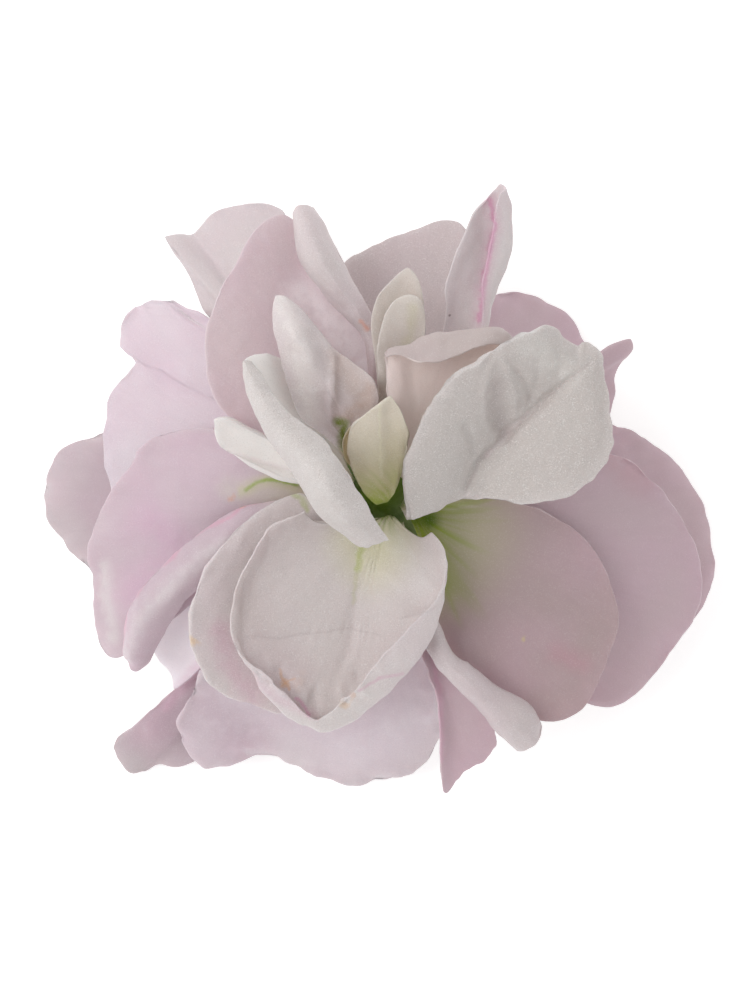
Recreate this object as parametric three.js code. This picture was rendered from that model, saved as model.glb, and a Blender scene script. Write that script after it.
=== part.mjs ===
// A double stock bloom, picked from its spike and laid face up. Millimetres, +Z up, resting at z = 0.
// Thirty-one petals stand in four rings on a domed receptacle, above four sepals and the cut stalk.
import * as THREE from 'three';

// Driving dimensions
const PETAL_THICK = 0.6; // every blade, claw and sepal
const PETAL_GAP = 0.34; // clear space left between one petal and the next
const CLAW_HALF_WIDTH = 0.52; // half the width of a petal's narrow foot
const STALK_RADIUS = 1.0;
const STALK_TOP = 3.2; // where the stalk swells into the receptacle
const RECEPTACLE_RADIUS = 4.5;
const DOME_FOOT = 4.6; // height of the receptacle's rim
const DOME_SLOPE = 1.15; // rise of the dome for each millimetre towards the axis

// Rings of claws: distance from the axis, and height at which the claw ends and the blade spreads
const RINGS = {
  heart: { radius: 0.85, mouth: 14.8 },
  inner: { radius: 1.9, mouth: 13.4 },
  middle: { radius: 2.85, mouth: 12.0 },
  outer: { radius: 3.8, mouth: 10.6 },
};

// Colours
const WHITE = { color: 0xf1eeea, roughness: 0.62 };
const CREAM = { color: 0xece8d4, roughness: 0.62 };
const BLUSH = { color: 0xe9dde1, roughness: 0.62 };
const PINK = { color: 0xdfc6d2, roughness: 0.62 };
const GREEN = { color: 0x8aa457, roughness: 0.7 };
const PALE_GREEN = { color: 0xb4c08c, roughness: 0.75 };

// The petals, from the back of the bloom to the front: each one lies over those before it.
//   claw   azimuth of its foot in its ring, in degrees from +X
//   rise   arch of the blade above the straight way from the claw to its first line, halfway along
//          it: at its right edge, in its middle and at its left edge, as seen from the claw
//   lines  lines across the blade, each from the right edge to the left one. The last one is the
//          free margin, and a blade that rolls or folds over has a line at the fold.
//   steps  rows between two lines, and columns between two points of a line
const PETALS = [
  // Outermost ring, which reaches down to the surface
  {
    name: 'outer_petal_right_low', ring: 'outer', claw: -4, finish: PINK,
    rise: [2.4, 3.4, 1.6], steps: [3, 2],
    lines: [
      [[18.6, -10.6, 3.0], [22.1, -9.9, 1.4], [24.0, -6.6, 0.45], [23.9, -3.7, 0.5],
       [23.1, -0.6, 1.0], [21.5, 1.8, 2.2], [19.0, 3.8, 4.0], [15.8, 5.2, 6.4]],
    ],
  },
  {
    name: 'outer_petal_far_left', ring: 'outer', claw: 204, finish: PINK,
    rise: [2, 3, 2], steps: [3, 2],
    lines: [
      [[-18.1, 4.7, 4.0], [-20.3, 4.1, 2.4], [-22.7, 3.0, 1.0], [-23.8, 1.1, 0.6],
       [-24.1, -0.6, 0.45], [-23.4, -2.4, 0.7], [-21.9, -4.7, 1.6], [-19.9, -6.8, 3.4]],
    ],
  },
  {
    name: 'outer_petal_bottom_left', ring: 'outer', claw: 248, finish: PINK,
    rise: [1, 1.8, 1.2], steps: [3, 2],
    lines: [
      [[-17.3, -16.8, 1.2], [-19.1, -18.5, 0.45], [-18.3, -19.8, 0.5], [-17.0, -20.2, 0.8],
       [-15.7, -19.7, 1.0], [-14.2, -19.9, 1.2], [-12.4, -18.8, 2.0]],
    ],
  },
  {
    name: 'outer_petal_lower_left', ring: 'outer', claw: 227, finish: PINK,
    rise: [1.6, 2, 1.6], steps: [3, 2],
    lines: [
      [[-16.9, -9.1, 7.0], [-16.4, -10.9, 5.8], [-15.6, -12.1, 5.2], [-14.8, -12.9, 5.0],
       [-14.6, -14.2, 5.0], [-13.6, -13.6, 5.6]],
    ],
  },
  {
    name: 'outer_petal_upper_right', ring: 'outer', claw: 54, finish: PINK,
    rise: [2, 2.8, 2], steps: [3, 2],
    lines: [
      [[15.6, 7.5, 3.4], [15.2, 9.7, 1.6], [14.5, 11.3, 0.6], [13.7, 12.5, 0.45],
       [11.9, 13.7, 0.9], [9.9, 14.3, 2.6], [8.0, 14.1, 4.6]],
    ],
  },
  {
    name: 'outer_petal_right_curled', ring: 'outer', claw: 26, finish: PINK,
    rise: [2, 2, 1.4], steps: [3, 2],
    lines: [
      [[16.3, 4.6, 7.4], [16.7, 6.4, 7.2], [16.8, 8.0, 7.0], [17.3, 9.2, 6.9], [18.2, 10.0, 7.2],
       [17.9, 10.9, 7.4], [16.6, 10.3, 7.6]],
    ],
  },
  {
    name: 'outer_petal_top', ring: 'outer', claw: 88, finish: BLUSH,
    rise: [0.6, 1, 0.6], steps: [3, 2],
    lines: [
      [[7.5, 15.4, 10.6], [6.6, 17.8, 9.8], [5.7, 19.2, 9.4], [3.6, 18.9, 9.4], [1.5, 18.2, 9.4],
       [-0.5, 17.3, 9.4], [-2.2, 16.4, 9.6], [-3.6, 15.0, 10.2]],
    ],
  },
  {
    name: 'outer_petal_top_left', ring: 'outer', claw: 118, finish: BLUSH,
    rise: [1.6, 1.8, 1.2], steps: [3, 2],
    lines: [
      [[-6.3, 19.0, 9.0], [-6.9, 20.0, 8.6], [-8.5, 20.4, 8.2], [-10.6, 20.2, 7.8],
       [-12.2, 19.5, 7.4], [-13.1, 18.1, 7.1], [-14.2, 18.2, 7.5], [-15.3, 18.0, 7.6],
       [-14.2, 16.3, 8.0], [-13.2, 14.5, 8.6], [-12.5, 12.5, 9.2]],
    ],
  },
  {
    name: 'outer_petal_upper_left', ring: 'outer', claw: 150, finish: PINK,
    rise: [2, 3, 2], steps: [3, 1],
    lines: [
      [[-11.6, 11.9, 9.6], [-13.0, 12.9, 8.2], [-15.2, 13.6, 6.2], [-16.9, 13.5, 4.8],
       [-18.0, 12.7, 3.8], [-18.5, 11.5, 3.2], [-18.7, 10.3, 3.0], [-17.6, 9.6, 3.6],
       [-17.3, 9.1, 3.8], [-18.2, 8.4, 3.2], [-19.2, 6.9, 3.0], [-19.8, 4.5, 3.8],
       [-19.7, 2.2, 4.8], [-18.9, -0.1, 6.2]],
    ],
  },
  {
    name: 'outer_petal_bottom', ring: 'outer', claw: 272, finish: PINK,
    rise: [1.2, 2, 1], steps: [3, 1],
    lines: [
      [[-12.1, -11.9, 7.8], [-13.0, -13.5, 6.8], [-13.9, -15.2, 5.4], [-14.5, -16.8, 4.2],
       [-14.1, -18.4, 3.4], [-13.0, -19.6, 2.9], [-11.6, -19.9, 2.6], [-9.9, -19.3, 3.0],
       [-8.0, -18.8, 3.4], [-6.2, -19.6, 2.8], [-4.2, -20.6, 2.2], [-2.4, -20.9, 2.1],
       [-0.4, -21.0, 2.0], [1.9, -20.4, 2.2], [4.1, -19.0, 3.0], [4.9, -16.6, 4.6],
       [4.6, -14.0, 6.6]],
    ],
  },
  {
    name: 'outer_petal_right', ring: 'outer', claw: -30, finish: PINK,
    rise: [1.6, 2.6, 1.8], steps: [3, 2],
    lines: [
      [[13.6, -14.8, 5.8], [16.4, -15.5, 4.8], [18.6, -14.4, 4.6], [20.5, -11.9, 4.8],
       [22.4, -9.4, 4.8], [23.1, -6.4, 4.8], [22.4, -3.4, 5.2], [20.6, -0.5, 6.2],
       [18.4, 1.8, 7.6], [16.0, 3.0, 8.8]],
    ],
  },
  {
    name: 'outer_petal_left', ring: 'outer', claw: 178, finish: PINK,
    rise: [1.2, 2, 1.2], steps: [3, 2],
    lines: [
      [[-10.1, 4.2, 12.4], [-13.0, 4.5, 11.6], [-15.6, 4.1, 10.4], [-17.7, 1.8, 9.4],
       [-19.8, -1.3, 8.0], [-20.7, -3.9, 7.2], [-20.3, -6.6, 6.6], [-20.2, -9.4, 6.2],
       [-19.9, -11.4, 5.8], [-18.7, -12.1, 6.0], [-17.4, -11.5, 6.6]],
    ],
  },

  // Middle ring
  {
    name: 'middle_petal_top_right', ring: 'middle', claw: 42, finish: BLUSH, steps: [2, 3],
    lines: [
      [[7.3, 11.0, 17.0], [7.5, 11.1, 16.2], [6.7, 11.0, 15.4], [5.5, 11.2, 15.4],
       [4.6, 11.4, 16.0]],
      [[7.0, 14.2, 17.4], [8.2, 14.2, 16.8], [7.3, 14.2, 15.8], [5.9, 14.2, 16.0],
       [4.5, 14.2, 16.8]],
      [[7.7, 17.1, 17.8], [9.3, 17.4, 17.2], [8.0, 17.2, 16.2], [6.8, 17.2, 16.4],
       [5.5, 17.2, 17.2]],
      [[7.9, 19.2, 17.9], [9.0, 19.5, 17.3], [8.3, 19.4, 16.6], [7.4, 19.4, 16.6],
       [6.6, 19.4, 17.2]],
      [[8.3, 20.7, 17.9], [8.8, 21.1, 17.4], [8.5, 21.5, 16.9], [8.0, 21.1, 16.7],
       [7.5, 20.5, 16.9]],
    ],
  },
  {
    name: 'middle_petal_top_left', ring: 'middle', claw: 138, finish: BLUSH,
    rise: [-0.2, 0, 0.2], steps: [3, 2],
    lines: [
      [[-0.2, 8.0, 13.6], [-0.6, 11.1, 14.0], [-2.6, 14.4, 14.6], [-4.6, 17.5, 15.2],
       [-6.4, 19.4, 15.6], [-8.0, 19.0, 16.2], [-9.4, 17.2, 16.8], [-11.0, 14.2, 17.0],
       [-12.2, 11.2, 16.8], [-12.3, 9.0, 16.4], [-11.6, 6.2, 15.8], [-9.2, 3.8, 14.8]],
    ],
  },
  {
    name: 'middle_petal_top_rolled', ring: 'middle', claw: 102, finish: WHITE, steps: [2, 2],
    lines: [
      [[0.6, 10.2, 15.0], [0.2, 10.4, 15.7], [-0.2, 10.5, 15.9], [-0.6, 10.6, 15.7],
       [-0.9, 10.7, 15.1]],
      [[-1.1, 13.2, 15.8], [-1.4, 13.3, 17.0], [-2.1, 13.2, 17.8], [-2.7, 13.1, 17.2],
       [-3.0, 12.8, 16.2]],
      [[-2.5, 16.0, 16.4], [-3.0, 16.0, 17.8], [-4.0, 15.9, 18.8], [-5.0, 15.8, 18.2],
       [-5.4, 15.7, 16.8]],
      [[-3.7, 18.4, 16.6], [-4.2, 18.5, 17.7], [-4.9, 18.4, 18.4], [-5.6, 18.3, 18.0],
       [-5.9, 18.2, 17.0]],
      [[-4.6, 19.8, 16.6], [-5.0, 19.9, 17.2], [-5.5, 20.0, 17.5], [-5.8, 19.8, 17.3],
       [-6.0, 19.4, 16.9]],
    ],
  },
  {
    name: 'middle_petal_left_rolled', ring: 'middle', claw: 204, finish: BLUSH, steps: [2, 2],
    lines: [
      [[-8.8, -0.8, 12.8], [-8.7, -1.2, 13.3], [-8.4, -1.7, 13.4], [-8.1, -2.1, 13.0],
       [-7.9, -2.5, 12.4]],
      [[-12.2, -2.9, 12.4], [-12.0, -3.4, 13.3], [-11.6, -4.0, 13.6], [-11.0, -4.8, 13.2],
       [-10.6, -5.4, 12.2]],
      [[-16.0, -6.0, 11.4], [-15.8, -6.7, 12.6], [-15.3, -7.5, 12.8], [-14.4, -8.0, 12.0],
       [-13.8, -7.8, 10.8]],
      [[-17.7, -8.6, 10.4], [-17.6, -9.4, 11.4], [-17.0, -10.3, 11.5], [-16.1, -10.6, 10.6],
       [-15.3, -10.3, 9.4]],
      [[-18.1, -11.5, 8.8], [-17.9, -12.2, 8.9], [-17.5, -13.0, 8.8], [-16.9, -12.8, 8.8],
       [-16.1, -12.1, 8.8]],
    ],
  },
  {
    name: 'middle_petal_lower_left_cup', ring: 'middle', claw: 236, finish: WHITE,
    rise: [0.4, 0, 0], steps: [3, 2],
    lines: [
      [[-5.6, 0.0, 13.8], [-8.4, -1.1, 14.6], [-11.0, -3.6, 15.0], [-12.8, -6.4, 15.0],
       [-13.4, -9.4, 14.6], [-13.0, -12.0, 14.0], [-11.4, -14.2, 13.2], [-8.8, -15.3, 12.6],
       [-6.4, -15.8, 12.2], [-4.8, -14.2, 12.2]],
    ],
  },
  {
    name: 'middle_petal_lower_right', ring: 'middle', claw: -30, finish: BLUSH,
    rise: [0.2, 1, 0.6], steps: [3, 2],
    lines: [
      [[5.8, -12.4, 11.4], [8.5, -14.8, 10.8], [11.7, -16.4, 10.2], [14.6, -15.4, 10.0],
       [15.9, -12.6, 10.2], [17.0, -9.9, 10.4], [16.5, -6.6, 11.0], [14.6, -3.3, 11.8],
       [10.8, -1.0, 12.8], [6.5, -0.4, 13.4]],
    ],
  },
  {
    name: 'middle_petal_bottom_pointed', ring: 'middle', claw: 268, finish: PINK, steps: [2, 2],
    lines: [
      [[3.0, -11.9, 12.4], [3.6, -12.3, 11.8], [4.2, -12.6, 11.4], [4.9, -12.7, 11.6],
       [5.6, -12.6, 12.0]],
      [[4.1, -14.7, 12.0], [4.7, -15.1, 11.0], [5.4, -15.3, 10.6], [6.4, -15.3, 10.8],
       [7.4, -15.0, 11.4]],
      [[4.2, -18.0, 11.0], [4.8, -18.3, 10.0], [5.5, -18.5, 9.6], [7.0, -18.7, 9.6],
       [8.5, -17.8, 10.0]],
      [[4.4, -20.9, 9.4], [4.6, -21.5, 8.8], [5.2, -21.0, 8.6], [5.8, -20.0, 9.0],
       [7.7, -19.1, 9.4]],
    ],
  },
  {
    name: 'middle_petal_bottom_rolled', ring: 'middle', claw: 298, finish: WHITE, steps: [2, 2],
    lines: [
      [[3.3, -11.3, 13.0], [3.5, -11.1, 13.6], [3.9, -10.9, 13.8], [4.3, -10.7, 13.6],
       [4.5, -10.5, 13.0]],
      [[5.1, -13.5, 12.4], [5.3, -13.3, 13.2], [5.8, -13.0, 13.6], [6.3, -12.7, 13.2],
       [6.5, -12.5, 12.4]],
      [[7.4, -15.9, 11.6], [7.7, -15.6, 12.8], [8.2, -15.2, 13.4], [8.9, -14.6, 12.8],
       [9.2, -14.3, 11.6]],
      [[8.7, -17.4, 11.0], [9.0, -17.1, 12.2], [9.7, -16.4, 13.0], [10.6, -15.7, 12.0],
       [10.9, -15.3, 10.8]],
      [[9.7, -18.3, 10.4], [10.2, -18.4, 11.0], [10.9, -18.0, 11.4], [11.4, -17.4, 11.0],
       [11.5, -16.6, 10.4]],
    ],
  },
  {
    name: 'middle_petal_left_small', ring: 'middle', claw: 170, finish: WHITE, steps: [5, 1],
    lines: [
      [[-9.6, 4.7, 16.8], [-10.7, 5.2, 16.8], [-11.6, 5.0, 16.6], [-11.6, 3.9, 16.4],
       [-11.2, 2.8, 16.2], [-10.0, 2.3, 16.2], [-8.7, 1.5, 16.0], [-7.2, 0.8, 15.6]],
    ],
  },
  {
    name: 'middle_petal_top_cream', ring: 'middle', claw: 71, finish: CREAM, steps: [5, 1],
    lines: [
      [[3.2, 11.3, 16.8], [3.3, 13.2, 17.4], [2.9, 14.7, 17.8], [2.0, 15.6, 18.0],
       [1.0, 15.0, 18.0], [-0.1, 13.7, 18.0], [-0.8, 12.2, 17.6]],
    ],
  },

  // Inner ring
  {
    name: 'inner_petal_top_cream', ring: 'inner', claw: 76, finish: CREAM, steps: [5, 1],
    lines: [
      [[3.4, 10.8, 18.0], [3.3, 12.8, 18.6], [2.7, 13.6, 19.0], [1.6, 13.7, 19.1],
       [0.7, 13.0, 19.1], [0.2, 11.9, 18.9], [-0.3, 10.4, 18.4]],
    ],
  },
  {
    name: 'inner_petal_left_hood', ring: 'inner', claw: 168, finish: BLUSH,
    rise: [0.6, 0.6, 0.6], steps: [3, 1],
    lines: [
      [[-6.0, 8.8, 17.6], [-7.2, 9.5, 18.6], [-8.4, 9.6, 19.6], [-9.5, 9.1, 20.4],
       [-9.3, 7.4, 20.0], [-8.4, 5.3, 19.2], [-7.2, 3.2, 18.2]],
    ],
  },
  {
    name: 'inner_petal_bottom_cup', ring: 'inner', claw: 284, finish: WHITE, steps: [4, 2],
    lines: [
      [[-4.4, -2.0, 16.0], [-6.4, -2.8, 16.2], [-7.8, -4.6, 16.0], [-9.2, -7.6, 15.8],
       [-9.4, -10.8, 15.6], [-8.3, -13.8, 15.0], [-6.2, -15.9, 14.4], [-4.2, -16.8, 14.0],
       [-2.2, -16.3, 14.2], [0.4, -14.2, 15.0], [2.7, -11.8, 15.8], [4.3, -9.0, 16.4],
       [4.2, -6.6, 16.4], [3.9, -4.7, 16.4], [2.9, -3.2, 16.0]],
      [[-5.1, -1.3, 17.2], [-7.3, -2.2, 17.2], [-8.8, -4.2, 17.2], [-10.4, -7.6, 17.0],
       [-10.2, -11.0, 16.6], [-7.9, -12.8, 16.2], [-6.2, -14.4, 15.8], [-4.3, -16.0, 15.2],
       [-2.8, -14.8, 15.8], [-1.2, -13.3, 16.6], [0.4, -11.1, 17.4], [2.6, -8.9, 17.6],
       [4.7, -6.5, 17.4], [4.7, -4.1, 17.2], [3.7, -2.8, 16.8]],
    ],
  },
  {
    name: 'inner_petal_upper_left', ring: 'inner', claw: 122, finish: WHITE, steps: [4, 2],
    lines: [
      [[-0.4, 4.2, 15.6], [-0.7, 4.9, 16.4], [-1.6, 5.6, 17.4], [-2.8, 6.6, 18.8],
       [-3.7, 7.6, 19.8], [-4.1, 7.6, 19.8], [-4.3, 7.2, 19.4], [-4.3, 6.2, 18.8],
       [-3.9, 4.7, 17.8], [-3.4, 3.4, 16.6]],
      [[0.1, 6.4, 17.2], [-0.4, 7.8, 17.9], [-2.2, 9.3, 18.4], [-4.5, 11.2, 19.4],
       [-6.4, 13.4, 20.4], [-7.2, 13.6, 20.4], [-7.5, 12.6, 19.8], [-7.3, 10.6, 19.2],
       [-6.5, 7.6, 18.8], [-5.6, 4.9, 18.2]],
    ],
  },
  {
    name: 'inner_petal_upper_right_rolled', ring: 'inner', claw: 30, finish: BLUSH, steps: [3, 2],
    lines: [
      [[6.6, 4.8, 16.6], [5.9, 5.8, 16.8], [5.0, 6.6, 17.0], [3.9, 7.0, 17.2], [2.9, 7.2, 17.4],
       [2.0, 7.3, 17.8], [1.2, 7.4, 18.2], [0.4, 7.4, 18.6]],
      [[9.6, 10.4, 19.4], [8.3, 11.1, 20.0], [6.8, 11.2, 20.3], [4.9, 11.0, 20.4],
       [3.2, 10.6, 20.4], [1.8, 10.1, 20.3], [0.9, 9.8, 20.1], [0.4, 9.3, 19.8]],
      [[9.2, 9.8, 20.4], [8.1, 10.1, 21.1], [6.6, 9.7, 21.6], [5.0, 9.0, 21.6], [3.4, 8.8, 21.4],
       [2.0, 9.0, 21.2], [1.2, 9.3, 21.0], [0.5, 9.1, 20.6]],
    ],
  },
  {
    name: 'heart_petal_left', ring: 'heart', claw: 120, finish: CREAM, steps: [4, 1],
    lines: [
      [[-1.6, 4.7, 17.8], [-2.1, 4.5, 17.8], [-2.5, 3.9, 17.4], [-2.7, 3.1, 17.0],
       [-2.6, 2.4, 16.6], [-2.2, 2.0, 16.2]],
    ],
  },
  {
    name: 'heart_petal_centre', ring: 'heart', claw: 285, finish: CREAM, steps: [6, 1],
    lines: [
      [[1.9, 2.0, 18.0], [2.2, 3.8, 19.4], [1.7, 5.5, 20.2], [0.8, 6.7, 20.8], [0.0, 6.1, 20.8],
       [-1.3, 5.3, 20.4], [-2.2, 4.1, 19.6], [-2.4, 2.6, 18.6]],
    ],
  },
  {
    name: 'inner_petal_right_large', ring: 'inner', claw: -26, finish: WHITE, steps: [2, 2],
    lines: [
      [[6.3, -0.4, 16.8], [5.9, -0.5, 17.0], [5.4, -0.7, 17.4], [4.8, -1.0, 17.8],
       [3.9, -1.5, 18.4], [2.9, -1.8, 19.0], [1.9, -2.0, 19.2]],
      [[10.7, -1.1, 18.0], [9.2, 0.4, 17.9], [8.2, 1.4, 17.6], [7.4, 2.3, 17.4], [5.4, 2.4, 19.8],
       [3.5, 2.4, 21.0], [1.4, 1.6, 20.8]],
      [[14.7, 0.2, 18.2], [12.8, 1.8, 18.7], [10.8, 3.3, 18.4], [9.3, 4.4, 17.9], [7.0, 4.9, 20.2],
       [4.9, 5.2, 21.6], [2.7, 4.6, 21.6]],
      [[16.5, 3.3, 18.2], [14.6, 4.7, 19.0], [12.8, 6.0, 18.9], [11.4, 6.5, 18.7],
       [9.3, 7.3, 20.6], [6.9, 7.6, 22.0], [4.2, 7.2, 22.2]],
      [[15.9, 5.9, 18.4], [15.0, 7.0, 19.2], [13.9, 7.7, 19.3], [13.0, 8.0, 19.3],
       [11.1, 8.9, 20.8], [9.0, 9.4, 22.4], [6.3, 9.0, 22.8]],
      [[15.6, 9.1, 18.2], [15.2, 10.1, 18.2], [14.5, 10.6, 18.2], [13.6, 10.1, 18.6],
       [12.6, 11.0, 19.4], [11.3, 11.5, 20.4], [8.6, 10.2, 22.4]],
    ],
  },
  {
    name: 'inner_petal_front_folded', ring: 'inner', claw: 212, finish: WHITE, steps: [3, 2],
    lines: [
      [[-6.4, 5.5, 19.8], [-6.0, 4.2, 19.5], [-5.2, 2.2, 18.9], [-4.2, 0.4, 18.6],
       [-3.4, -0.9, 18.2], [-2.6, -1.9, 17.8], [-1.6, -2.6, 17.8]],
      [[-9.5, 8.7, 21.6], [-9.2, 6.9, 22.0], [-7.8, 3.8, 22.0], [-5.7, 0.9, 21.8],
       [-4.3, -1.6, 21.4], [-2.8, -2.8, 20.8], [-1.2, -3.8, 20.2]],
      [[-9.3, 9.1, 22.6], [-8.5, 7.2, 23.6], [-7.0, 4.6, 24.2], [-4.8, 2.0, 24.4],
       [-3.3, -0.5, 24.0], [-1.8, -2.3, 23.0], [-0.2, -3.7, 21.2]],
      [[-8.8, 9.0, 22.1], [-7.8, 7.7, 23.0], [-6.4, 5.5, 23.6], [-3.6, 3.6, 23.6],
       [-2.0, 1.0, 23.4], [-0.5, -1.5, 22.4], [0.7, -3.4, 21.0]],
    ],
  },
];

// Calyx and receptacle, as distance from the axis and height
const SEPAL_AZIMUTHS = [20, 110, 200, 290];
const SEPAL_PROFILE = [[2.3, 2.75], [3.6, 3.1], [4.9, 3.8], [5.25, 5.2], [5.35, 7.2], [5.1, 9.3]];
const SEPAL_HALF_WIDTHS = [1.0, 1.5, 1.9, 1.8, 1.1];
const RECEPTACLE_PROFILE = [
  [0, 0], [STALK_RADIUS - 0.15, 0], [STALK_RADIUS, 0.15], [STALK_RADIUS, STALK_TOP - 0.6],
  [1.5, STALK_TOP + 0.2], [3, STALK_TOP + 0.6], [4.2, STALK_TOP + 1], [RECEPTACLE_RADIUS, DOME_FOOT],
];
const DOME_TOP_RADIUS = 0.5; // the dome's blunt top

const degrees = THREE.MathUtils.degToRad;
const smooth = THREE.MathUtils.smoothstep;
const UP = new THREE.Vector3(0, 0, 1);

// Height of the receptacle's dome at a distance from the axis.
const domeHeight = (radius) => DOME_FOOT + DOME_SLOPE * (RECEPTACLE_RADIUS - radius);

const curveThrough = (points) => new THREE.CatmullRomCurve3(points, false, 'centripetal');

const polar = (radius, azimuth, z) =>
  new THREE.Vector3(radius * Math.cos(degrees(azimuth)), radius * Math.sin(degrees(azimuth)), z);

// Smooth curve through values that stand at the given stations.
function through(stations, values, x) {
  let i = 0;
  while (i < stations.length - 2 && x > stations[i + 1]) i++;
  const slope = (k) => {
    const a = Math.max(k - 1, 0), b = Math.min(k + 1, stations.length - 1);
    return (values[b] - values[a]) / (stations[b] - stations[a]);
  };
  const h = stations[i + 1] - stations[i];
  const s = THREE.MathUtils.clamp((x - stations[i]) / h, 0, 1);
  const s2 = s * s, s3 = s2 * s;
  return (2 * s3 - 3 * s2 + 1) * values[i] + (s3 - 2 * s2 + s) * h * slope(i) +
    (3 * s2 - 2 * s3) * values[i + 1] + (s3 - s2) * h * slope(i + 1);
}

// One petal's middle surface, on a net: first the rows of the claw, last the free margin.
const CLAW_ROWS = 1;
class PetalSurface {
  constructor({ ring, claw, rise, lines, steps }) {
    const { radius, mouth } = RINGS[ring];
    this.foot = polar(radius, claw, domeHeight(radius - PETAL_THICK) + PETAL_GAP);
    this.mouth = polar(radius, claw, mouth);
    this.rise = rise;
    this.lines = lines.map((line) => curveThrough(line.map((p) => new THREE.Vector3(...p))));
    this.columns = (lines[0].length - 1) * steps[1];
    this.rowsPerLine = steps[0];
    const [first] = lines;
    const across = new THREE.Vector3(...first[first.length - 1]).sub(new THREE.Vector3(...first[0]));
    this.side = UP.clone().cross(polar(1, claw, 0));
    if (this.side.dot(across) < 0) this.side.negate();
  }

  // Points from the foot to the margin at a share of the way from the right edge to the left one.
  ray(share) {
    const offset = CLAW_HALF_WIDTH * (2 * share - 1);
    const knots = [this.foot, this.mouth].map((p) => p.clone().addScaledVector(this.side, offset));
    const crossings = this.lines.map((line) => line.getPoint(share));
    if (this.rise) {
      const halfway = knots[1].clone().lerp(crossings[0], 0.5);
      halfway.z += through([0, 0.5, 1], this.rise, share);
      knots.push(halfway);
    }
    knots.push(...crossings);
    const curve = curveThrough(knots);
    const clawShare = 1 / (knots.length - 1);
    const bladeRows = this.rowsPerLine * (knots.length - 2);
    const points = [];
    for (let i = 0; i < CLAW_ROWS; i++) points.push(curve.getPoint((clawShare * i) / CLAW_ROWS));
    for (let i = 0; i <= bladeRows; i++) {
      points.push(curve.getPoint(clawShare + ((1 - clawShare) * i) / bladeRows));
    }
    return points;
  }

  net() {
    const rays = Array.from({ length: this.columns + 1 }, (_, j) => this.ray(j / this.columns));
    return rays[0].map((_, i) => rays.map((ray) => ray[i]));
  }
}

// Calls visit(x, y, z) for points spread evenly over a net's blade.
const SAMPLE_STEP = 0.3;
const MOST_STEPS = 40;
function sweep(net, visit) {
  const p = new THREE.Vector3(), q = new THREE.Vector3();
  const stepsFor = (u, v) => THREE.MathUtils.clamp(Math.ceil(Math.max(u, v) / SAMPLE_STEP), 1, MOST_STEPS);
  for (let i = CLAW_ROWS; i < net.length - 1; i++) {
    for (let j = 0; j < net[i].length - 1; j++) {
      const [a, b, c, d] = [net[i][j], net[i][j + 1], net[i + 1][j], net[i + 1][j + 1]];
      const m = stepsFor(a.distanceTo(c), b.distanceTo(d));
      const n = stepsFor(a.distanceTo(b), c.distanceTo(d));
      for (let k = 0; k <= m; k++) {
        for (let l = 0; l <= n; l++) {
          p.lerpVectors(a, c, k / m).lerp(q.lerpVectors(b, d, k / m), l / n);
          visit(p.x, p.y, p.z);
        }
      }
    }
  }
}

// A value for every cell of a square plan, largest value kept.
const CELL = 0.3;
const PLAN_HALF = 32;
const PLAN_CELLS = Math.round((2 * PLAN_HALF) / CELL);
class PlanField {
  constructor(empty) {
    this.values = new Float32Array(PLAN_CELLS * PLAN_CELLS).fill(empty);
  }

  cell(x) {
    return THREE.MathUtils.clamp(Math.floor((x + PLAN_HALF) / CELL), 0, PLAN_CELLS - 1);
  }

  at(x, y) {
    return this.values[this.cell(y) * PLAN_CELLS + this.cell(x)];
  }

  // Spreads a point over the cells within reach, shaped by profile(distance), which is added to the value.
  spread(x, y, reach, profile) {
    const cells = Math.ceil(reach / CELL);
    const cx = this.cell(x), cy = this.cell(y);
    for (let v = Math.max(cy - cells, 0); v <= Math.min(cy + cells, PLAN_CELLS - 1); v++) {
      for (let u = Math.max(cx - cells, 0); u <= Math.min(cx + cells, PLAN_CELLS - 1); u++) {
        const d = Math.hypot((u + 0.5) * CELL - PLAN_HALF - x, (v + 0.5) * CELL - PLAN_HALF - y);
        if (d > reach) continue;
        const k = v * PLAN_CELLS + u;
        this.values[k] = Math.max(this.values[k], profile(d));
      }
    }
  }
}

// Lays each petal over the ones before it: where it would come too close, it is raised smoothly.
const CLEARANCE = PETAL_THICK + PETAL_GAP + CELL / 2;
const LIFT_REACH = 3.2;
const LIFT_ROUNDS = 4;
const MOUTH_REACH = 1.2; // round a petal's mouth the spacing of the claws alone keeps it free
function drape(nets) {
  const laid = new PlanField(-Infinity);
  for (const net of nets) {
    const mouth = net[CLAW_ROWS][0].clone().lerp(net[CLAW_ROWS][net[0].length - 1], 0.5);
    const nearMouth = (x, y) => Math.hypot(x - mouth.x, y - mouth.y) < MOUTH_REACH;
    for (let round = 0; round < LIFT_ROUNDS; round++) {
      const needs = new Map();
      sweep(net, (x, y, z) => {
        if (nearMouth(x, y)) return;
        const need = laid.at(x, y) - z;
        const key = laid.cell(y) * PLAN_CELLS + laid.cell(x);
        if (need > 0.02 && need > (needs.get(key)?.need ?? 0)) needs.set(key, { x, y, need });
      });
      if (!needs.size) break;
      const lift = new PlanField(0);
      for (const { x, y, need } of needs.values()) {
        lift.spread(x, y, LIFT_REACH, (d) => need * (1 - smooth(d, LIFT_REACH * 0.1, LIFT_REACH)));
      }
      for (const row of net.slice(CLAW_ROWS)) {
        for (const p of row) p.z += lift.at(p.x, p.y);
      }
    }
    sweep(net, (x, y, z) => {
      if (!nearMouth(x, y)) laid.spread(x, y, CLEARANCE, (d) => z + Math.sqrt(CLEARANCE ** 2 - d * d));
    });
  }
}

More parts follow.
